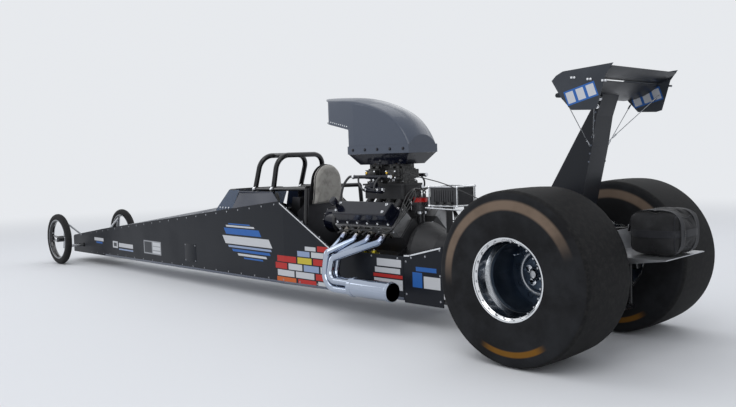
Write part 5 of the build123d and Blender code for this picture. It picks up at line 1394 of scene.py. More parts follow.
class DRAGSTER_OT_induction(bpy.types.Operator):
    """Detail the carburettors: bowls, levers, fuel rails and scoop bolts"""

    bl_idname = "dragster.induction"
    bl_label = "Carburettors and fuel rails"

    def execute(self, context):
        low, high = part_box("carburettors")
        spots = []
        for x in CARBURETTORS:
            for side in SIDES:
                face = side * (high.y + 0.0002)
                for dx in (-0.042, 0.042):
                    for z in (low.z + 0.044, low.z + 0.086):
                        spots.append((at(x + dx, face, z), outward(side)))
                for dx in (-0.062, 0.062):
                    spots.append((at(x + dx, side * 0.062, low.z + 0.016), Vector((0, 0, 1))))
        fasteners("bowl_screws", spots, 0.0042, 0.004, 6)
        self.bowl_details(low, high)
        self.fuel_rails(low)
        self.linkage(low)
        self.scoop_bolts()
        return {"FINISHED"}

    def bowl_details(self, low, high):
        """Plates, plugs and sight glasses on the fuel bowls, and the blocks over them."""
        form, brass = Form(), Form()
        for x in CARBURETTORS:
            for side in SIDES:
                face = side * high.y
                form.block(at(x, face + side * 0.0022, low.z + 0.065), (0.086, 0.005, 0.040), None, 0.0015)
                for dx in (-0.022, 0.022):
                    brass.hexagon(at(x + dx, face + side * 0.004, low.z + 0.052),
                                  at(x + dx, face + side * 0.012, low.z + 0.052), 0.0062)
                brass.solid([(0.009, 0), (0.009, 0.004), (0.005, 0.007)],
                            at(x + 0.030, face + side * 0.004, low.z + 0.075), (0, side, 0), 18)
                for dx in (-0.030, 0.030):
                    form.block(at(x + dx, side * 0.066, low.z + 0.112), (0.030, 0.016, 0.018), None, 0.003)
        form.piece("bowl_plates", "carburettor_alloy")
        brass.piece("bowl_fittings", "steel_parts", "gold_fitting")

    def fuel_rails(self, low):
        """A rail along each side with a drop to every bowl, and the pipe that feeds it."""
        rails, nuts = Form(), Form()
        drops = []
        for side in SIDES:
            y = side * 0.182
            z = low.z + 0.052
            rails.rod(at(1.340, y, z), at(1.690, y, z), 0.0125, 0.003, 20)
            for x in (1.335, 1.690):
                nuts.hexagon(at(x - 0.006, y, z), at(x + 0.014, y, z), 0.0155)
            for x in CARBURETTORS:
                nuts.hexagon(at(x + 0.022, side * 0.142, z), at(x + 0.022, side * 0.128, z), 0.0105)
                nuts.hexagon(at(x + 0.022, side * 0.156, z), at(x + 0.022, side * 0.171, z), 0.0105)
                rails.rod(at(x + 0.022, side * 0.120, z), at(x + 0.022, side * 0.180, z), 0.0062)
            drops.append([at(1.700, y, z), at(1.745, y, z - 0.004), at(1.800, side * 0.190, z - 0.07),
                          at(1.835, side * 0.198, 0.76), at(1.870, side * 0.200, 0.700)])
        rails.piece("fuel_rails", "black_alloy")
        nuts.piece("rail_fittings", "steel_parts", "bright_fastener")
        hoses("fuel_feeds", drops, 0.0085, 0.05, 0.006, 12, finish="braided_hose")

    def linkage(self, low):
        """Throttle shafts, levers and their rod on the left, and the cable from them to the axle housing."""
        form = Form()
        z = low.z + 0.024
        y = 0.086
        for x in CARBURETTORS:
            form.rod(at(x, 0.070, z), at(x, y + 0.006, z), 0.0045)
            form.plate([at(x - 0.008, y, z - 0.008), at(x + 0.008, y, z - 0.008), at(x + 0.010, y, z + 0.032),
                        at(x - 0.010, y, z + 0.032)], (0, 0.003, 0), 0.0006)
            form.solid([(0.006, 0), (0.006, 0.005)], at(x, y + 0.003, z + 0.025), (0, 1, 0), 14)
        form.rod(at(CARBURETTORS[0], y + 0.0075, z + 0.025), at(CARBURETTORS[1], y + 0.0075, z + 0.025),
                 0.0028)
        form.piece("throttle_linkage", "steel_parts", "bright_fastener")
        cable = [at(CARBURETTORS[0] - 0.006, y + 0.0075, z + 0.025), at(1.33, 0.098, z + 0.026),
                 at(1.24, 0.135, 0.985), at(1.10, 0.155, 0.955), at(0.90, 0.158, 0.915),
                 at(0.70, 0.140, 0.845), at(0.46, 0.105, 0.740), at(0.24, 0.080, 0.645),
                 at(0.10, 0.066, 0.604), at(0.02, 0.062, 0.598)]
        hoses("throttle_cable", [cable], 0.0034, sides=8)

    def scoop_bolts(self):
        """Bolts through the scoop's flange into its tray, and rivets up its rear edge."""
        spots = []
        for side in SIDES:
            for i in range(5):
                spots.append((at(1.245 + 0.122 * i, side * 0.1452, 1.145), outward(side)))
        fasteners("flange_bolts", spots, 0.0075, 0.006, 6, finish="black_alloy")
        rivets = []
        for side in SIDES:
            for i in range(9):
                x = 1.80 + 0.022 * i
                rivets.append((at(x, side * (0.1373 - 0.039 * (x - 1.80)), 1.316 + 0.222 * (x - 1.80)),
                               outward(side, 0.04)))
        fasteners("duct_rivets", rivets, 0.0032, 0.0016)


class DRAGSTER_OT_drive(bpy.types.Operator):
    """Fit the belt, pulley bolts and front cover bolts ahead of the engine"""

    bl_idname = "dragster.drive"
    bl_label = "Front drive and belt"

    def execute(self, context):
        self.belt()
        spots, big = [], []
        drum = at(2.0120, *DRUM)
        crank = at(1.9078, 0, CRANK_Z)
        for i in range(12):
            turn = math.tau * i / 12
            out = spoke(turn, "X")
            spots.append((drum + out * 0.086, Vector((1, 0, 0))))
            if i % 2:
                big.append((crank + out * 0.038, Vector((1, 0, 0))))
        for y, z in ((-0.105, 0.300), (0.105, 0.300), (-0.122, 0.400), (0.122, 0.400), (-0.070, 0.560),
                     (0.0, 0.585)):
            big.append((at(1.8420, y, z), Vector((1, 0, 0))))
        fasteners("drum_screws", spots, 0.0055, 0.005, 6)
        fasteners("drive_bolts", self.on_cover(big), 0.0075, 0.007, 6)
        form = Form()
        form.solid([(0.030, 0), (0.030, 0.006), (0.022, 0.012), (0.020, 0.030), (0.014, 0.034)], drum,
                   (1, 0, 0), 36)
        form.hoop([(0.060, 0), (0.068, 0), (0.068, 0.004), (0.064, 0.006), (0.060, 0.004)], drum, (1, 0, 0),
                  48)
        form.solid([(0.018, 0), (0.018, 0.012), (0.012, 0.016)], crank, (1, 0, 0), 6)
        form.piece("drive_caps", "steel_parts")
        return {"FINISHED"}

    def on_cover(self, spots):
        """The bolts that land on the drive's front, put on its surface."""
        cover = skin_of("front_drive")
        found = [(cover.ray_cast(place + facing * 0.02, -facing, 0.12)[0], facing) for place, facing in spots]
        return [(hit, facing) for hit, facing in found if hit]

    def belt(self):
        """A toothed belt from the crank pulley up to the drum."""
        low_c, low_r = Vector((0, CRANK_Z)), 0.0635
        high_c, high_r = Vector(DRUM), 0.0995
        along = high_c - low_c
        lean = math.atan2(along.y, along.x)
        spread = math.acos((low_r - high_r) / along.length)
        ring = []
        for centre, radius, start, end in ((low_c, low_r, lean + spread, lean - spread + math.tau),
                                           (high_c, high_r, lean - spread, lean + spread)):
            for i in range(29):
                turn = start + (end - start) * i / 28
                ring.append((centre + radius * Vector((math.cos(turn), math.sin(turn))), turn))
        form = Form()
        for i, (spot, turn) in enumerate(ring):
            out = Vector((math.cos(turn), math.sin(turn)))
            corners = [(1.8752, 0), (1.9045, 0), (1.9045, 0.0045), (1.8752, 0.0045)]
            ring[i] = [form.mesh.verts.new(at(x, spot.x + out.x * r, spot.y + out.y * r)) for x, r in corners]
        form.skin(ring, loop=True)
        form.piece("drive_belt", "grip", "hose_rubber")


class DRAGSTER_OT_exhaust(bpy.types.Operator):
    """Bolt the header flanges and bead the collectors"""

    bl_idname = "dragster.exhaust"
    bl_label = "Header hardware"

    def execute(self, context):
        spots, welds = [], Form()
        pipes = skin_of("headers")
        for side in SIDES:
            for i in range(4):
                x = 1.676 - 0.124 * i
                face = at(x, side * 0.2705, 0.594)
                for along, across in ((-0.037, 0.020), (0.037, -0.020)):
                    start = face + Vector((along, 0, 0)) + bank_up(side) * across
                    hit = pipes.ray_cast(start + bank_out(side) * 0.10, -bank_out(side), 0.2)[0]
                    if hit:
                        spots.append((hit, bank_out(side)))
            for x in (1.385, 1.060):
                centre = at(x, side * 0.492, 0.250)
                welds.hoop([(0.0622, -0.005), (0.0645, -0.003), (0.0650, 0.0), (0.0645, 0.003),
                            (0.0622, 0.005)], centre, (1, 0, 0), 48)
        fasteners("header_bolts", spots, 0.0068, 0.008, 6)
        welds.piece("collector_beads", "bright_pipe")
        return {"FINISHED"}


class DRAGSTER_OT_ancillaries(bpy.types.Operator):
    """Frame the ignition box and fit the fuel logs, the gearbox's bolts and the solenoids"""

    bl_idname = "dragster.ancillaries"
    bl_label = "Engine ancillaries"

    def execute(self, context):
        self.ignition_frame()
        self.fuel_logs()
        self.gearbox_parts()
        self.solenoids()
        return {"FINISHED"}

    def ignition_frame(self):
        """A bright open frame round the ignition box, with its ribs, plugs and mounting rod."""
        low, high = at(0.795, -0.025, 0.775), at(1.015, 0.145, 0.885)
        form, ribs, plugs, spots = Form(), Form(), Form(), []
        reach = 0.006
        corners = [(low.x - reach, low.z - reach), (high.x + reach, low.z - reach),
                   (high.x + reach, high.z + reach), (low.x - reach, high.z + reach)]
        for y in (low.y - 0.004, high.y + 0.004):
            for (x0, z0), (x1, z1) in zip(corners, corners[1:] + corners[:1]):
                form.rod((x0, y, z0), (x1, y, z1), 0.0052)
        for x, z in corners:
            form.rod((x, low.y - 0.006, z), (x, high.y + 0.006, z), 0.0052)
            for y in (low.y - 0.008, high.y + 0.008):
                spots.append((Vector((x, y, z)), Vector((0, 1 if y > 0 else -1, 0))))
        width, height = high.x - low.x, high.z - low.z
        for y, out in ((high.y, 1), (low.y, -1)):
            for i in range(9):
                x = low.x + width * (0.16 + 0.085 * i)
                ribs.block(Vector((x, y + out * 0.0022, low.z + height * 0.5)),
                           (0.006, 0.0044, height * 0.72), None, 0.001)
        for i in range(3):
            plugs.block(Vector((low.x + width * (0.22 + 0.28 * i), high.y + 0.0105, low.z + 0.012)),
                        (0.030, 0.014, 0.014), None, 0.002)
        form.rod((low.x - 0.09, high.y + 0.004, low.z - 0.030),
                 (high.x + 0.04, high.y + 0.004, low.z - 0.022), 0.0060)
        for x in (low.x + 0.020, high.x - 0.020):
            form.rod((x, high.y + 0.004, low.z - 0.028), (x, high.y + 0.004, low.z - 0.004), 0.0045)
        form.piece("ignition_frame", "steel_parts", "polished_sheet")
        ribs.piece("ignition_ribs", "dark_box")
        plugs.piece("ignition_plugs", "grip", "hose_rubber")
        fasteners("ignition_screws", spots, 0.0055, 0.004, 6)

    def fuel_logs(self):
        """A black log and regulator beside each carburettor, on a bracket, with their lines."""
        form, nuts, lines = Form(), Form(), []
        for side in SIDES:
            y = side * 0.198
            form.rod(at(1.395, y, 0.866), at(1.560, y, 0.874), 0.0235, 0.006, 24)
            form.solid([(0.026, 0), (0.030, 0.006), (0.030, 0.030), (0.024, 0.036), (0.012, 0.040)],
                       at(1.480, y, 0.888), (0, 0, 1), 28)
            form.block(at(1.480, side * 0.148, 0.872), (0.030, 0.072, 0.006), None, 0.0015)
            for x in (1.388, 1.568):
                nuts.hexagon(at(x - 0.006, y, 0.870), at(x + 0.008, y, 0.870), 0.016)
            for x in (1.420, 1.535):
                nuts.hexagon(at(x, y + side * 0.020, 0.871), at(x, y + side * 0.034, 0.871), 0.0115)
                nuts.rod(at(x, y + side * 0.034, 0.871), at(x, y + side * 0.041, 0.871), 0.0075)
            nuts.rod(at(1.480, y, 0.928), at(1.480, y, 0.940), 0.006)
            for x, up in ((1.420, 1.412), (1.535, 1.612)):
                lines.append([at(x, y + side * 0.039, 0.871), at(x, y + side * 0.056, 0.876),
                              at((x + up) / 2, y + side * 0.050, 0.915), at(up, y + side * 0.014, 0.950),
                              at(up, y - side * 0.014, 0.957)])
        form.piece("fuel_logs", "black_alloy")
        nuts.piece("fuel_log_fittings", "steel_parts", "bright_fastener")
        hoses("carburettor_lines", lines, 0.0065, 0.05, 0.006, finish="braided_hose")

    def gearbox_parts(self):
        """Bolts round the bell housing and bosses on the gearbox."""
        box = skin_of("transmission")
        low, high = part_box("transmission")
        spots, form = [], Form()
        for i in range(16):
            turn = math.tau * (i + 0.5) / 16
            out = spoke(turn, "X")
            place = box.ray_cast(Vector((high.x - 0.012, 0, CRANK_Z)) + out * 0.6, -out)[0]
            if place:
                spots.append((Vector((high.x - 0.0195, place.y, place.z)) - out * 0.008, Vector((-1, 0, 0))))
        for x in (0.34, 0.50, 0.64):
            for side in SIDES:
                place = box.ray_cast(Vector((low.x + x, side * 0.6, CRANK_Z - 0.03)), -outward(side))[0]
                if place:
                    form.turned([(0, 0), (0.024, 0), (0.024, 0.004), (0.017, 0.010), (0.017, 0.020),
                                 (0, 0.021)], place - Vector((0, side * 0.002, 0)), (0, side, 0), 28)
                    spots.append((place + Vector((0, side * 0.0185, 0)), outward(side)))
        fasteners("gearbox_bolts", spots, 0.0075, 0.007, 6)
        form.piece("gearbox_bosses", "bare_casting", "dark_cast")

    def solenoids(self):
        """Two yellow solenoids on their bracket low beside the engine."""
        cans, grips, nuts = Form(), Form(), Form()
        for x in (1.400, 1.500):
            foot = at(x, 0.290, 0.430)
            cans.solid([(0.017, 0), (0.0195, 0.003), (0.0195, 0.034), (0.016, 0.038)], foot, (0, 0, 1), 28)
            nuts.hexagon(foot + Vector((0, 0, -0.012)), foot, 0.012)
            nuts.rod(foot + Vector((0, 0, 0.038)), foot + Vector((0, 0, 0.046)), 0.006)
        grips.block(at(1.450, 0.266, 0.424), (0.160, 0.006, 0.060), None, 0.002)
        grips.block(at(1.450, 0.208, 0.400), (0.030, 0.118, 0.006), None, 0.0015)
        cans.piece("solenoids", "steel_parts", "yellow_can")
        grips.piece("solenoid_bracket", "sheet_alloy", "steel_parts")
        nuts.piece("solenoid_fittings", "steel_parts", "bright_fastener")


class DRAGSTER_OT_cockpit(bpy.types.Operator):
    """Fit the cockpit: harness, wheel grips, gauges, shifter and cage clamps"""

    bl_idname = "dragster.cockpit"
    bl_label = "Cockpit fittings"

    def execute(self, context):
        self.harness()
        self.wheel()
        self.gauges()
        self.shifter()
        self.cage_trim()
        return {"FINISHED"}

    def harness(self):
        """Shoulder, lap and crotch straps that lie on the empty seat, with their buckle."""
        straps, metal = Form(), Form()
        floor = 0.1985
        for side in SIDES:
            y = side * 0.082
            line = smooth_line([at(2.215, y * 1.25, 0.872), at(2.250, y * 1.2, 0.838),
                                at(2.274, y * 1.12, 0.800), at(2.290, y, 0.680), at(2.304, y, 0.520),
                                at(2.317, y * 0.95, 0.370), at(2.334, y * 0.85, 0.250),
                                at(2.385, y * 0.7, 0.210), at(2.450, y * 0.45, floor + 0.004),
                                at(2.500, y * 0.28, floor + 0.006)], 5)
            leans = [Vector((1, 0, 0.12 + 1.6 * (i / len(line)) ** 2)) for i in range(len(line))]
            straps.strap(line, 0.072, 0.0028, leans.__getitem__)
            lap = smooth_line([at(2.372, side * 0.2045, 0.245), at(2.392, side * 0.195, 0.222),
                               at(2.430, side * 0.150, 0.206), at(2.480, side * 0.085, floor + 0.006),
                               at(2.512, side * 0.035, floor + 0.009)], 5)
            straps.strap(lap, 0.070, 0.0028, lambda i: Vector((0.1, -side * 0.25, 1)))
            metal.block(line[12] + Vector((0.004, 0, 0)), (0.006, 0.080, 0.030), None, 0.002)
            metal.block(at(2.490, side * 0.060, floor + 0.010), (0.052, 0.010, 0.006),
                        Matrix.Rotation(side * 0.4, 3, "Z"), 0.002)
        crotch = smooth_line([at(2.640, 0, floor), at(2.600, 0, floor + 0.002), at(2.560, 0, floor + 0.006)],
                             5)
        straps.strap(crotch, 0.050, 0.0028, lambda i: Vector((0, 0, 1)))
        metal.solid([(0.032, 0), (0.036, 0.003), (0.036, 0.013), (0.031, 0.018), (0.012, 0.021)],
                    at(2.527, 0, floor + 0.009), (0, 0, 1), 40)
        metal.block(at(2.527, 0.020, floor + 0.031), (0.012, 0.052, 0.004), None, 0.0015)
        straps.piece("harness_webbing", "pack_cloth", "webbing")
        metal.piece("harness_buckles", "steel_parts")

    def wheel(self):
        """Ribbed sleeves on both grips, three hub screws and a button."""
        axis = Vector(JOINTS["steering_wheel_turn"]["axis"]).normalized()
        along = axis.cross(Vector((0, 1, 0)))
        face = at(2.985, 0, 0.742)
        grips, spots = Form(), []
        for side in SIDES:
            middle = face + axis * 0.0093 + Vector((0, side * 0.125, 0))
            profile = [(0.0141, -0.060), (0.0165, -0.060)]
            for i in range(20):
                foot = -0.057 + 0.006 * i
                profile += [(0.0165, foot), (0.0172, foot + 0.0015), (0.0165, foot + 0.003)]
            profile += [(0.0165, 0.062), (0.0141, 0.062)]
            grips.hoop(profile, middle, along, 24)
            grips.turned([(0, 0.0651), (0.012, 0.0651), (0.009, 0.069), (0, 0.070)], middle, along, 24)
            grips.turned([(0, 0.0651), (0.012, 0.0651), (0.009, 0.069), (0, 0.070)], middle, -along, 24)
        for i in range(3):
            turn = math.radians(90 + 120 * i)
            out = math.cos(turn) * Vector((0, 1, 0)) + math.sin(turn) * along
            spots.append((face + axis * 0.0164 + out * 0.024, axis))
        grips.piece("wheel_grips", "grip", "hose_rubber", body="steering_wheel")
        fasteners("wheel_screws", spots, 0.004, 0.003, 6, body="steering_wheel")
        button = Form()
        button.turned([(0, 0), (0.011, 0), (0.011, 0.004), (0.008, 0.006), (0.008, 0.010), (0.006, 0.011),
                       (0, 0.0115)], face + axis * 0.0164, axis, 28)
        button.piece("wheel_button", "red_cap", body="steering_wheel")

    def gauges(self):
        """Two blank-faced gauges and a tachometer on the dash bar, with their bezels and glass."""
        axis = Vector((-0.94, 0, 0.34)).normalized()
        cups, bezels, faces, glass, needles = Form(), Form(), Form(), Form(), Form()
        for y, z, radius in ((0.0, 0.708, 0.062), (0.105, 0.668, 0.034), (-0.105, 0.668, 0.034)):
            rear = at(3.262, y, z)
            cups.solid([(radius * 0.55, 0), (radius * 0.92, 0.012), (radius, 0.020), (radius, 0.060),
                        (radius * 0.93, 0.060), (radius * 0.93, 0.050)], rear, axis, 40)
            bezels.hoop([(radius * 0.93, 0.058), (radius * 1.06, 0.058), (radius * 1.07, 0.062),
                         (radius, 0.067), (radius * 0.93, 0.065)], rear, axis, 48)
            faces.solid([(radius * 0.92, 0.0502), (radius * 0.92, 0.0515)], rear, axis, 40)
            glass.turned([(0, 0.0600), (radius * 0.925, 0.0600), (radius * 0.925, 0.0612), (0, 0.0622)], rear,
                         axis, 40)
            up = (Vector((0, 0, 1)) - axis * axis.z).normalized()
            point = rear + axis * 0.0530
            needles.rod(point - up * radius * 0.15,
                        point + (up + Vector((0, 0.8, 0))).normalized() * radius * 0.72, radius * 0.020,
                        segments=6)
        cups.piece("gauge_cups", "dark_box", "black_alloy")
        bezels.piece("gauge_bezels", "steel_parts", "polished_sheet")
        faces.piece("gauge_faces", "dark_box", "gauge_face")
        glass.piece("gauge_glass", "clear_screen")
        needles.piece("gauge_needles", "red_cap")

    def shifter(self):
        """A lever with a round knob beside the seat, its gate and its cable."""
        form, knob = Form(), Form()
        foot = at(2.800, -0.245, 0.390)
        form.block(foot, (0.150, 0.040, 0.060), None, 0.004)
        form.rod(foot + Vector((0, 0, 0.025)), foot + Vector((-0.030, 0.012, 0.190)), 0.0075)
        knob.turned([(0, 0), (0.010, 0), (0.019, 0.010), (0.0225, 0.022), (0.019, 0.036), (0.009, 0.043),
                     (0, 0.044)], foot + Vector((-0.029, 0.0118, 0.185)), (-0.17, 0.07, 1), 32)
        form.piece("shifter", "steel_parts")
        knob.piece("shifter_knob", "grip", "black_alloy")
        cable = [foot + Vector((-0.070, 0, -0.012)), foot + Vector((-0.130, 0.010, -0.050)),
                 at(2.45, -0.235, 0.260), at(2.25, -0.225, 0.230), at(2.10, -0.190, 0.260),
                 at(2.02, -0.150, 0.300)]
        hoses("shifter_cable", [cable], 0.0045, sides=8)

    def cage_trim(self):
        """Bright clamps where the side bars meet the cage's legs."""
        clamps, spots = Form(), []
        cage = skin_of("roll_cage")
        for side in SIDES:
            for x, z in ((2.560, 0.868), (2.790, 0.868)):
                place = cage.ray_cast(at(x, side * 0.6, z), -outward(side))[0]
                if place and abs(place.y) > 0.15:
                    centre = place - Vector((0, side * 0.017, 0))
                    clamps.hoop([(0.0178, -0.014), (0.0215, -0.014), (0.0225, -0.012), (0.0225, 0.012),
                                 (0.0215, 0.014), (0.0178, 0.014)], centre, (1, 0, 0), 32)
                    clamps.block(centre + Vector((0, side * 0.025, 0)), (0.024, 0.010, 0.012), None, 0.0015)
                    spots.append((centre + Vector((0, side * 0.030, 0)), outward(side)))
        if spots:
            clamps.piece("cage_clamps", "steel_parts", "bright_fastener")
            fasteners("clamp_screws", spots, 0.0055, 0.004, 6)


class DRAGSTER_OT_tail(bpy.types.Operator):
    """Fit the end plates' clips, the wing's stays and the stand's rivets and bolts"""

    bl_idname = "dragster.tail"
    bl_label = "Wing and tail fittings"

    def execute(self, context):
        plates, spots = Form(), []
        for side in SIDES:
            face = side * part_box("wing_end_plates")[1].y
            for x, z in ((-0.170, 1.471), (-0.262, 1.455), (-0.344, 1.441)):
                plates.block(at(x, face + side * 0.0016, z), (0.030, 0.003, 0.011),
                             Matrix.Rotation(-0.17, 3, "Y"), 0.0008)
                for dx in (-0.009, 0.009):
                    spots.append((at(x + dx, face + side * 0.0032, z), outward(side)))
        plates.piece("end_plate_clips", "steel_parts")
        fasteners("end_plate_screws", spots, 0.0035, 0.002)
        stand = skin_of("wing_stand")
        self.stays(stand)
        self.stand_fasteners(stand)
        return {"FINISHED"}

    def stays(self, stand):
        """Thin stays from the wing down to the stand on each side, with their turnbuckles."""
        form = Form()
        plates = skin_of("wing_end_plates")
        for side in SIDES:
            for x, z, foot_x, foot_z in ((-0.288, 1.395, -0.150, 1.140), (-0.120, 1.362, -0.105, 1.110)):
                head = plates.find_nearest(at(x, side * 0.340, z))[0]
                foot = stand.find_nearest(at(foot_x, side * 0.094, foot_z))[0]
                form.rod(head, foot, 0.0022, segments=10)
                for share in (0.10, 0.90):
                    middle = head.lerp(foot, share)
                    reach = (foot - head).normalized() * 0.016
                    form.hexagon(middle - reach, middle + reach, 0.0050)
        form.piece("wing_stays", "steel_parts")

    def stand_fasteners(self, stand):
        """Rivets along the stand's edges and bolts at its feet and head."""
        shares = [i / 13 for i in range(14)]
        rivets = [(-0.040 - 0.100 * share, 0.72 + 0.58 * share) for share in shares]
        bolts = [(0.030, 0.640), (0.090, 0.640), (0.150, 0.640), (-0.168, 1.372), (-0.150, 1.330)]
        fasteners("stand_rivets", self.on_stand(stand, rivets), 0.0036, 0.0018, finish="edge_strip")
        fasteners("stand_bolts", self.on_stand(stand, bolts), 0.0078, 0.006, 6)

    def on_stand(self, stand, spots):
        """The spots, pairs of x and z, that land on the stand's flat sides."""
        kept = []
        for side in SIDES:
            for x, z in spots:
                hit = stand.ray_cast(at(x, side * (STAND_HALF + 0.0002), z) + outward(side) * 0.2,
                                     -outward(side))[0]
                if hit and abs(abs(hit.y) - STAND_HALF) < 0.004:
                    kept.append((hit, outward(side)))
        return kept


class DRAGSTER_OT_soft_goods(bpy.types.Operator):
    """Sew the parachute pack and the heat-cloth head shroud"""

    bl_idname = "dragster.soft_goods"
    bl_label = "Soft goods"

    def execute(self, context):
        self.parachute()
        self.shroud()
        return {"FINISHED"}

    def parachute(self):
        """A stuffed nylon pack under webbing, with piped seams."""
        low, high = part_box("parachute_pack")
        middle = (high + low) / 2
        pack = stuffed("parachute_bag", low, high, 0.014, 0.012, 0.007)
        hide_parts("parachute_pack")
        pack.data.materials.append(finish_of("pack_cloth"))
        settle(pack, "chassis")
        skin = skin_of(pack)
        straps, rows = Form(), []
        for y in PACK_STRAPS:
            line = around(skin, Vector((middle.x, y, middle.z)), Vector((0, 1, 0)), -215, 35, 40, 0.0006)
            straps.strap(line, 0.044, 0.0030, lambda i, l=line: (l[i] - middle) * Vector((1, 0, 1)))
            for edge in (-0.018, 0.018):
                rows.append(around(skin, Vector((middle.x, y + edge, middle.z)), Vector((0, 1, 0)), -210, 30,
                                   60, 0.0038))
        line = around(skin, middle, Vector((0, 0, 1)), 0, 360, 60, 0.0006)
        straps.strap(line[:-1] + [line[0]], 0.038, 0.0028, lambda i: (line[i] - middle) * Vector((1, 1, 0)))
        straps.piece("pack_straps", "pack_cloth", "webbing")
        stitches("pack_stitching", rows, 0.007, 0.0008)
        piping = []
        for x in (low.x + 0.030, high.x - 0.030):
            piping.append(around(skin, Vector((x, middle.y, middle.z)), Vector((1, 0, 0)), 0, 360, 64,
                                 0.0002))
        hoses("pack_piping", piping, 0.0032, sides=8, finish="webbing")
        metal = Form()
        for y in PACK_STRAPS:
            place = skin.ray_cast(Vector((high.x + 0.2, y, middle.z + 0.02)), Vector((-1, 0, 0)))[0]
            if place:
                metal.block(place + Vector((0.005, 0, 0)), (0.006, 0.054, 0.034), None, 0.002)
        metal.piece("pack_buckles", "steel_parts")

    def shroud(self):
        """The oval pad behind the helmet, in coarse heat cloth with a bound edge and quilting."""
        low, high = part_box("head_shroud")
        middle = (high + low) / 2
        pad = stuffed("head_shroud_pad", low, high, 0.008, 0.009, 0.006, node="head_shroud")
        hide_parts("head_shroud")
        pad.data.materials.append(finish_of("padding"))
        settle(pad, "chassis")
        skin = skin_of(pad)
        rim = around(skin, middle, Vector((1, 0, 0)), 0, 360, 72, -0.001)
        hoses("shroud_binding", [rim], 0.0042, sides=10, finish="webbing")
        rows = []
        for share in (0.62, 0.30):
            inner = [middle + (point - middle) * share for point in rim]
            rays = [(Vector((high.x + 0.1, point.y, point.z)), (-1, 0, 0)) for point in inner]
            rows.append([place + Vector((0.0006, 0, 0)) for place, _ in landings(skin, rays)])
        stitches("shroud_stitching", rows, 0.008, 0.0010)


def stuffed(name, low, high, shrink, cap, voxel, node=None):
    """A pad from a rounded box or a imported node, a little small, that cloth pressure then fills out."""
    shape = bmesh.new()
    middle = (low + high) / 2
    if node:
        shape.from_mesh(frame["nodes"][node].data)
        size = high - low
        for vert in shape.verts:
            vert.co = middle + (vert.co - middle) * Vector([1 - 2 * shrink / s for s in size])
    else:
        size = high - low - Vector((2, 2, 2)) * shrink
        bmesh.ops.create_cube(shape, size=1.0,
                              matrix=Matrix.Translation(middle) @ Matrix.Diagonal((*size, 1)))
        bmesh.ops.bevel(shape, geom=shape.edges[:], offset=0.045, segments=4, profile=0.5, affect="EDGES")
    mesh = bpy.data.meshes.new(name)
    shape.to_mesh(mesh)
    shape.free()
    pad = placed(name, mesh)
    remesh = pad.modifiers.new("remesh", "REMESH")
    remesh.mode = "VOXEL"
    remesh.voxel_size = voxel
    kept_plain(pad)
    puff(pad, cap)
    smooth = pad.modifiers.new("round", "SUBSURF")
    smooth.levels = smooth.render_levels = 1
    kept_plain(pad)
    pad.data.shade_smooth()
    return pad


PAD_PRESSURE = 4.0
FILL_FRAMES = 20


def puff(pad, cap):
    """Fill a pad by cloth pressure with no gravity, and hold back any point that moved too far."""
    start = [vert.co.copy() for vert in pad.data.vertices]
    cloth = pad.modifiers.new("fill", "CLOTH")
    cloth.settings.use_pressure = True
    cloth.settings.uniform_pressure_force = PAD_PRESSURE
    cloth.settings.effector_weights.gravity = 0.0
    for step in range(1, FILL_FRAMES + 1):
        bpy.context.scene.frame_set(step)
    kept_plain(pad)
    bpy.context.scene.frame_set(1)
    for vert, before in zip(pad.data.vertices, start):
        move = vert.co - before
        if move.length > cap:
            vert.co = before + move.normalized() * cap


def around(skin, centre, axis, start, end, count, lift):
    """Points round a skin, cast outwards from a centre and back on to the skin, lifted a little."""
    side = axis.orthogonal().normalized()
    other = axis.cross(side)
    line = []
    for i in range(count + 1):
        turn = math.radians(start + (end - start) * i / count)
        out = math.cos(turn) * side + math.sin(turn) * other
        place = skin.ray_cast(centre + out * 0.6, -out)[0]
        if place:
            line.append(place + out * lift)
    return line


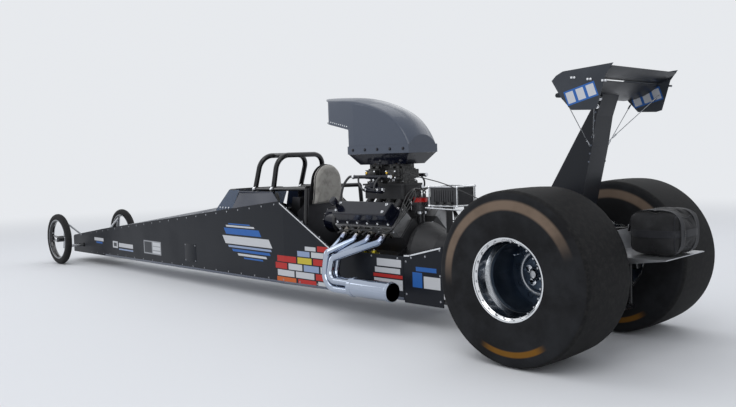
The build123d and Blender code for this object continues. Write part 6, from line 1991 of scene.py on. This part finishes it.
class DRAGSTER_OT_stage(bpy.types.Operator):
    """Set the floor, the soft lamps, the even sky and the photograph's camera"""

    bl_idname = "dragster.stage"
    bl_label = "Set the stage"

    def execute(self, context):
        self.make_floor(context.scene.dragster_stage)
        self.make_lamps(context.scene.dragster_stage)
        self.make_sky(context.scene.dragster_stage)
        self.make_camera(context.scene)
        return {"FINISHED"}

    def make_floor(self, stage):
        mesh = bpy.data.meshes.new("floor")
        shape = bmesh.new()
        bmesh.ops.create_circle(shape, cap_ends=True, radius=stage.floor_radius, segments=96)
        shape.to_mesh(mesh)
        shape.free()
        mesh.materials.append(self.floor_finish(stage))
        floor = placed("floor", mesh)

    def floor_finish(self, stage):
        """Pale matt floor that fades into the backdrop's colour far from the car."""
        paint = Paint("pale_floor", stage.floor_colour, 0.85)
        paint.rough(paint.noise(3.0, 4.0), 0.75, 0.95)
        x, y, _ = paint.xyz()
        far = ((x * x + y * y).root()).steps(5.0, 13.0)
        seen = paint.node("ShaderNodeLightPath", {}, {}, "Is Camera Ray")
        glow = paint.node("ShaderNodeEmission", {}, {"Color": opaque(BACKDROP), "Strength": 1.0})
        mixed = paint.node("ShaderNodeMixShader", {}, {0: far * seen, 1: Wire(paint, paint.shader.outputs[0]),
                                                       2: glow})
        output = next(n for n in paint.tree.nodes if n.type == "OUTPUT_MATERIAL")
        paint.tree.links.new(mixed.socket, output.inputs["Surface"])
        return paint.material

    def make_lamps(self, stage):
        for name, place, size, share in LAMPS:
            lamp = bpy.data.lights.new(name, "AREA")
            lamp.shape = "RECTANGLE"
            lamp.size, lamp.size_y = size
            lamp.energy = stage.key_strength * share
            holder = placed(name, lamp)
            holder.location = place
            holder.rotation_mode = "QUATERNION"
            holder.rotation_quaternion = (Vector((0, 0, 0.5)) - Vector(place)).to_track_quat("-Z", "Y")

    def make_sky(self, stage):
        world = bpy.data.worlds.new("even_sky")
        bpy.context.scene.world = world
        world.use_nodes = True
        graph = Graph(world.node_tree)
        graph.tree.nodes.clear()
        path = graph.node("ShaderNodeLightPath", {}, {}, "Is Camera Ray")
        glossy = Wire(graph, path.socket.node.outputs["Is Glossy Ray"])
        through = Wire(graph, path.socket.node.outputs["Is Transmission Ray"])
        seen = path.math("MAXIMUM", path, path.math("MAXIMUM", glossy, through))
        light = graph.node("ShaderNodeBackground", {},
                           {"Color": (0.92, 0.95, 1.0, 1.0), "Strength": stage.sky_strength})
        back = graph.node("ShaderNodeBackground", {}, {"Color": opaque(BACKDROP), "Strength": 1.0})
        mixed = graph.node("ShaderNodeMixShader", {}, {0: seen, 1: light, 2: back})
        graph.node("ShaderNodeOutputWorld", {}, {"Surface": mixed})

    def make_camera(self, scene):
        """The photograph's camera, as solved from the wheels and the body's straight edges."""
        camera = bpy.data.cameras.new("camera")
        camera.sensor_width = SENSOR_WIDTH
        camera.lens = SENSOR_WIDTH * FOCAL_PIXELS / PHOTO_WIDTH
        camera.clip_end = 400.0
        holder = placed("camera", camera)
        ahead = Vector((math.cos(CAMERA_PITCH) * math.cos(CAMERA_YAW),
                        math.cos(CAMERA_PITCH) * math.sin(CAMERA_YAW), math.sin(CAMERA_PITCH)))
        right = ahead.cross(Vector((0, 0, 1))).normalized()
        up = right.cross(ahead)
        turned_right = math.cos(CAMERA_ROLL) * right + math.sin(CAMERA_ROLL) * up
        turned_up = math.cos(CAMERA_ROLL) * up - math.sin(CAMERA_ROLL) * right
        turn = Matrix((turned_right, turned_up, -ahead)).transposed()
        holder.matrix_world = Matrix.Translation(CAMERA_PLACE) @ turn.to_4x4()
        scene.camera = holder


PHOTO_WIDTH = 736
FOCAL_PIXELS = 777.8
SENSOR_WIDTH = 36.0
CAMERA_PLACE = Vector((REAR_AXLE.x - 2.3156, 3.9232, 1.1087))
CAMERA_YAW = -0.768
CAMERA_PITCH = -0.0623
CAMERA_ROLL = -0.0322
BACKDROP = (0.80, 0.82, 0.85)
# Each lamp is its name, place, size and share of the key's strength
LAMPS = [
    ("key_lamp", (-4.5, 5.0, 6.0), (5.0, 4.0), 1.0),
    ("top_lamp", (0.5, 0.0, 7.0), (9.0, 4.0), 0.9),
    ("nose_lamp", (7.0, 4.0, 4.0), (4.0, 4.0), 0.6),
    ("far_lamp", (0.0, -6.0, 5.0), (8.0, 3.0), 0.5),
]


class DRAGSTER_PT_panel(bpy.types.Panel):
    """Lists the pieces of the car that can be made"""

    bl_label = "Dragster"
    bl_space_type = "VIEW_3D"
    bl_region_type = "UI"
    bl_category = "Dragster"

    def draw(self, context):
        for operator in STEPS:
            self.layout.operator(operator.bl_idname)
        for group in (context.scene.dragster_finish, context.scene.dragster_stage):
            for name in group.__annotations__:
                self.layout.prop(group, name)


STEPS = [
    DRAGSTER_OT_finish_frame, DRAGSTER_OT_panel_trim, DRAGSTER_OT_deck_trim, DRAGSTER_OT_rear_wheels,
    DRAGSTER_OT_front_wheels, DRAGSTER_OT_ignition, DRAGSTER_OT_engine_covers, DRAGSTER_OT_induction,
    DRAGSTER_OT_drive, DRAGSTER_OT_exhaust, DRAGSTER_OT_ancillaries, DRAGSTER_OT_cockpit, DRAGSTER_OT_tail,
    DRAGSTER_OT_soft_goods, DRAGSTER_OT_stage,
]
GROUPS = {"dragster_finish": FinishSettings, "dragster_stage": StageSettings}


def register():
    for group in GROUPS.values():
        bpy.utils.register_class(group)
    for name, group in GROUPS.items():
        setattr(bpy.types.Scene, name, PointerProperty(type=group))
    for step in (*STEPS, DRAGSTER_PT_panel):
        bpy.utils.register_class(step)


def unregister():
    for step in (DRAGSTER_PT_panel, *reversed(STEPS)):
        bpy.utils.unregister_class(step)
    for name, group in GROUPS.items():
        delattr(bpy.types.Scene, name)
        bpy.utils.unregister_class(group)


def main():
    register()
    bpy.context.scene.view_settings.view_transform = "Standard"
    for step in STEPS:
        area, name = step.bl_idname.split(".")
        getattr(getattr(bpy.ops, area), name)()


if __name__ == "__main__":
    main()
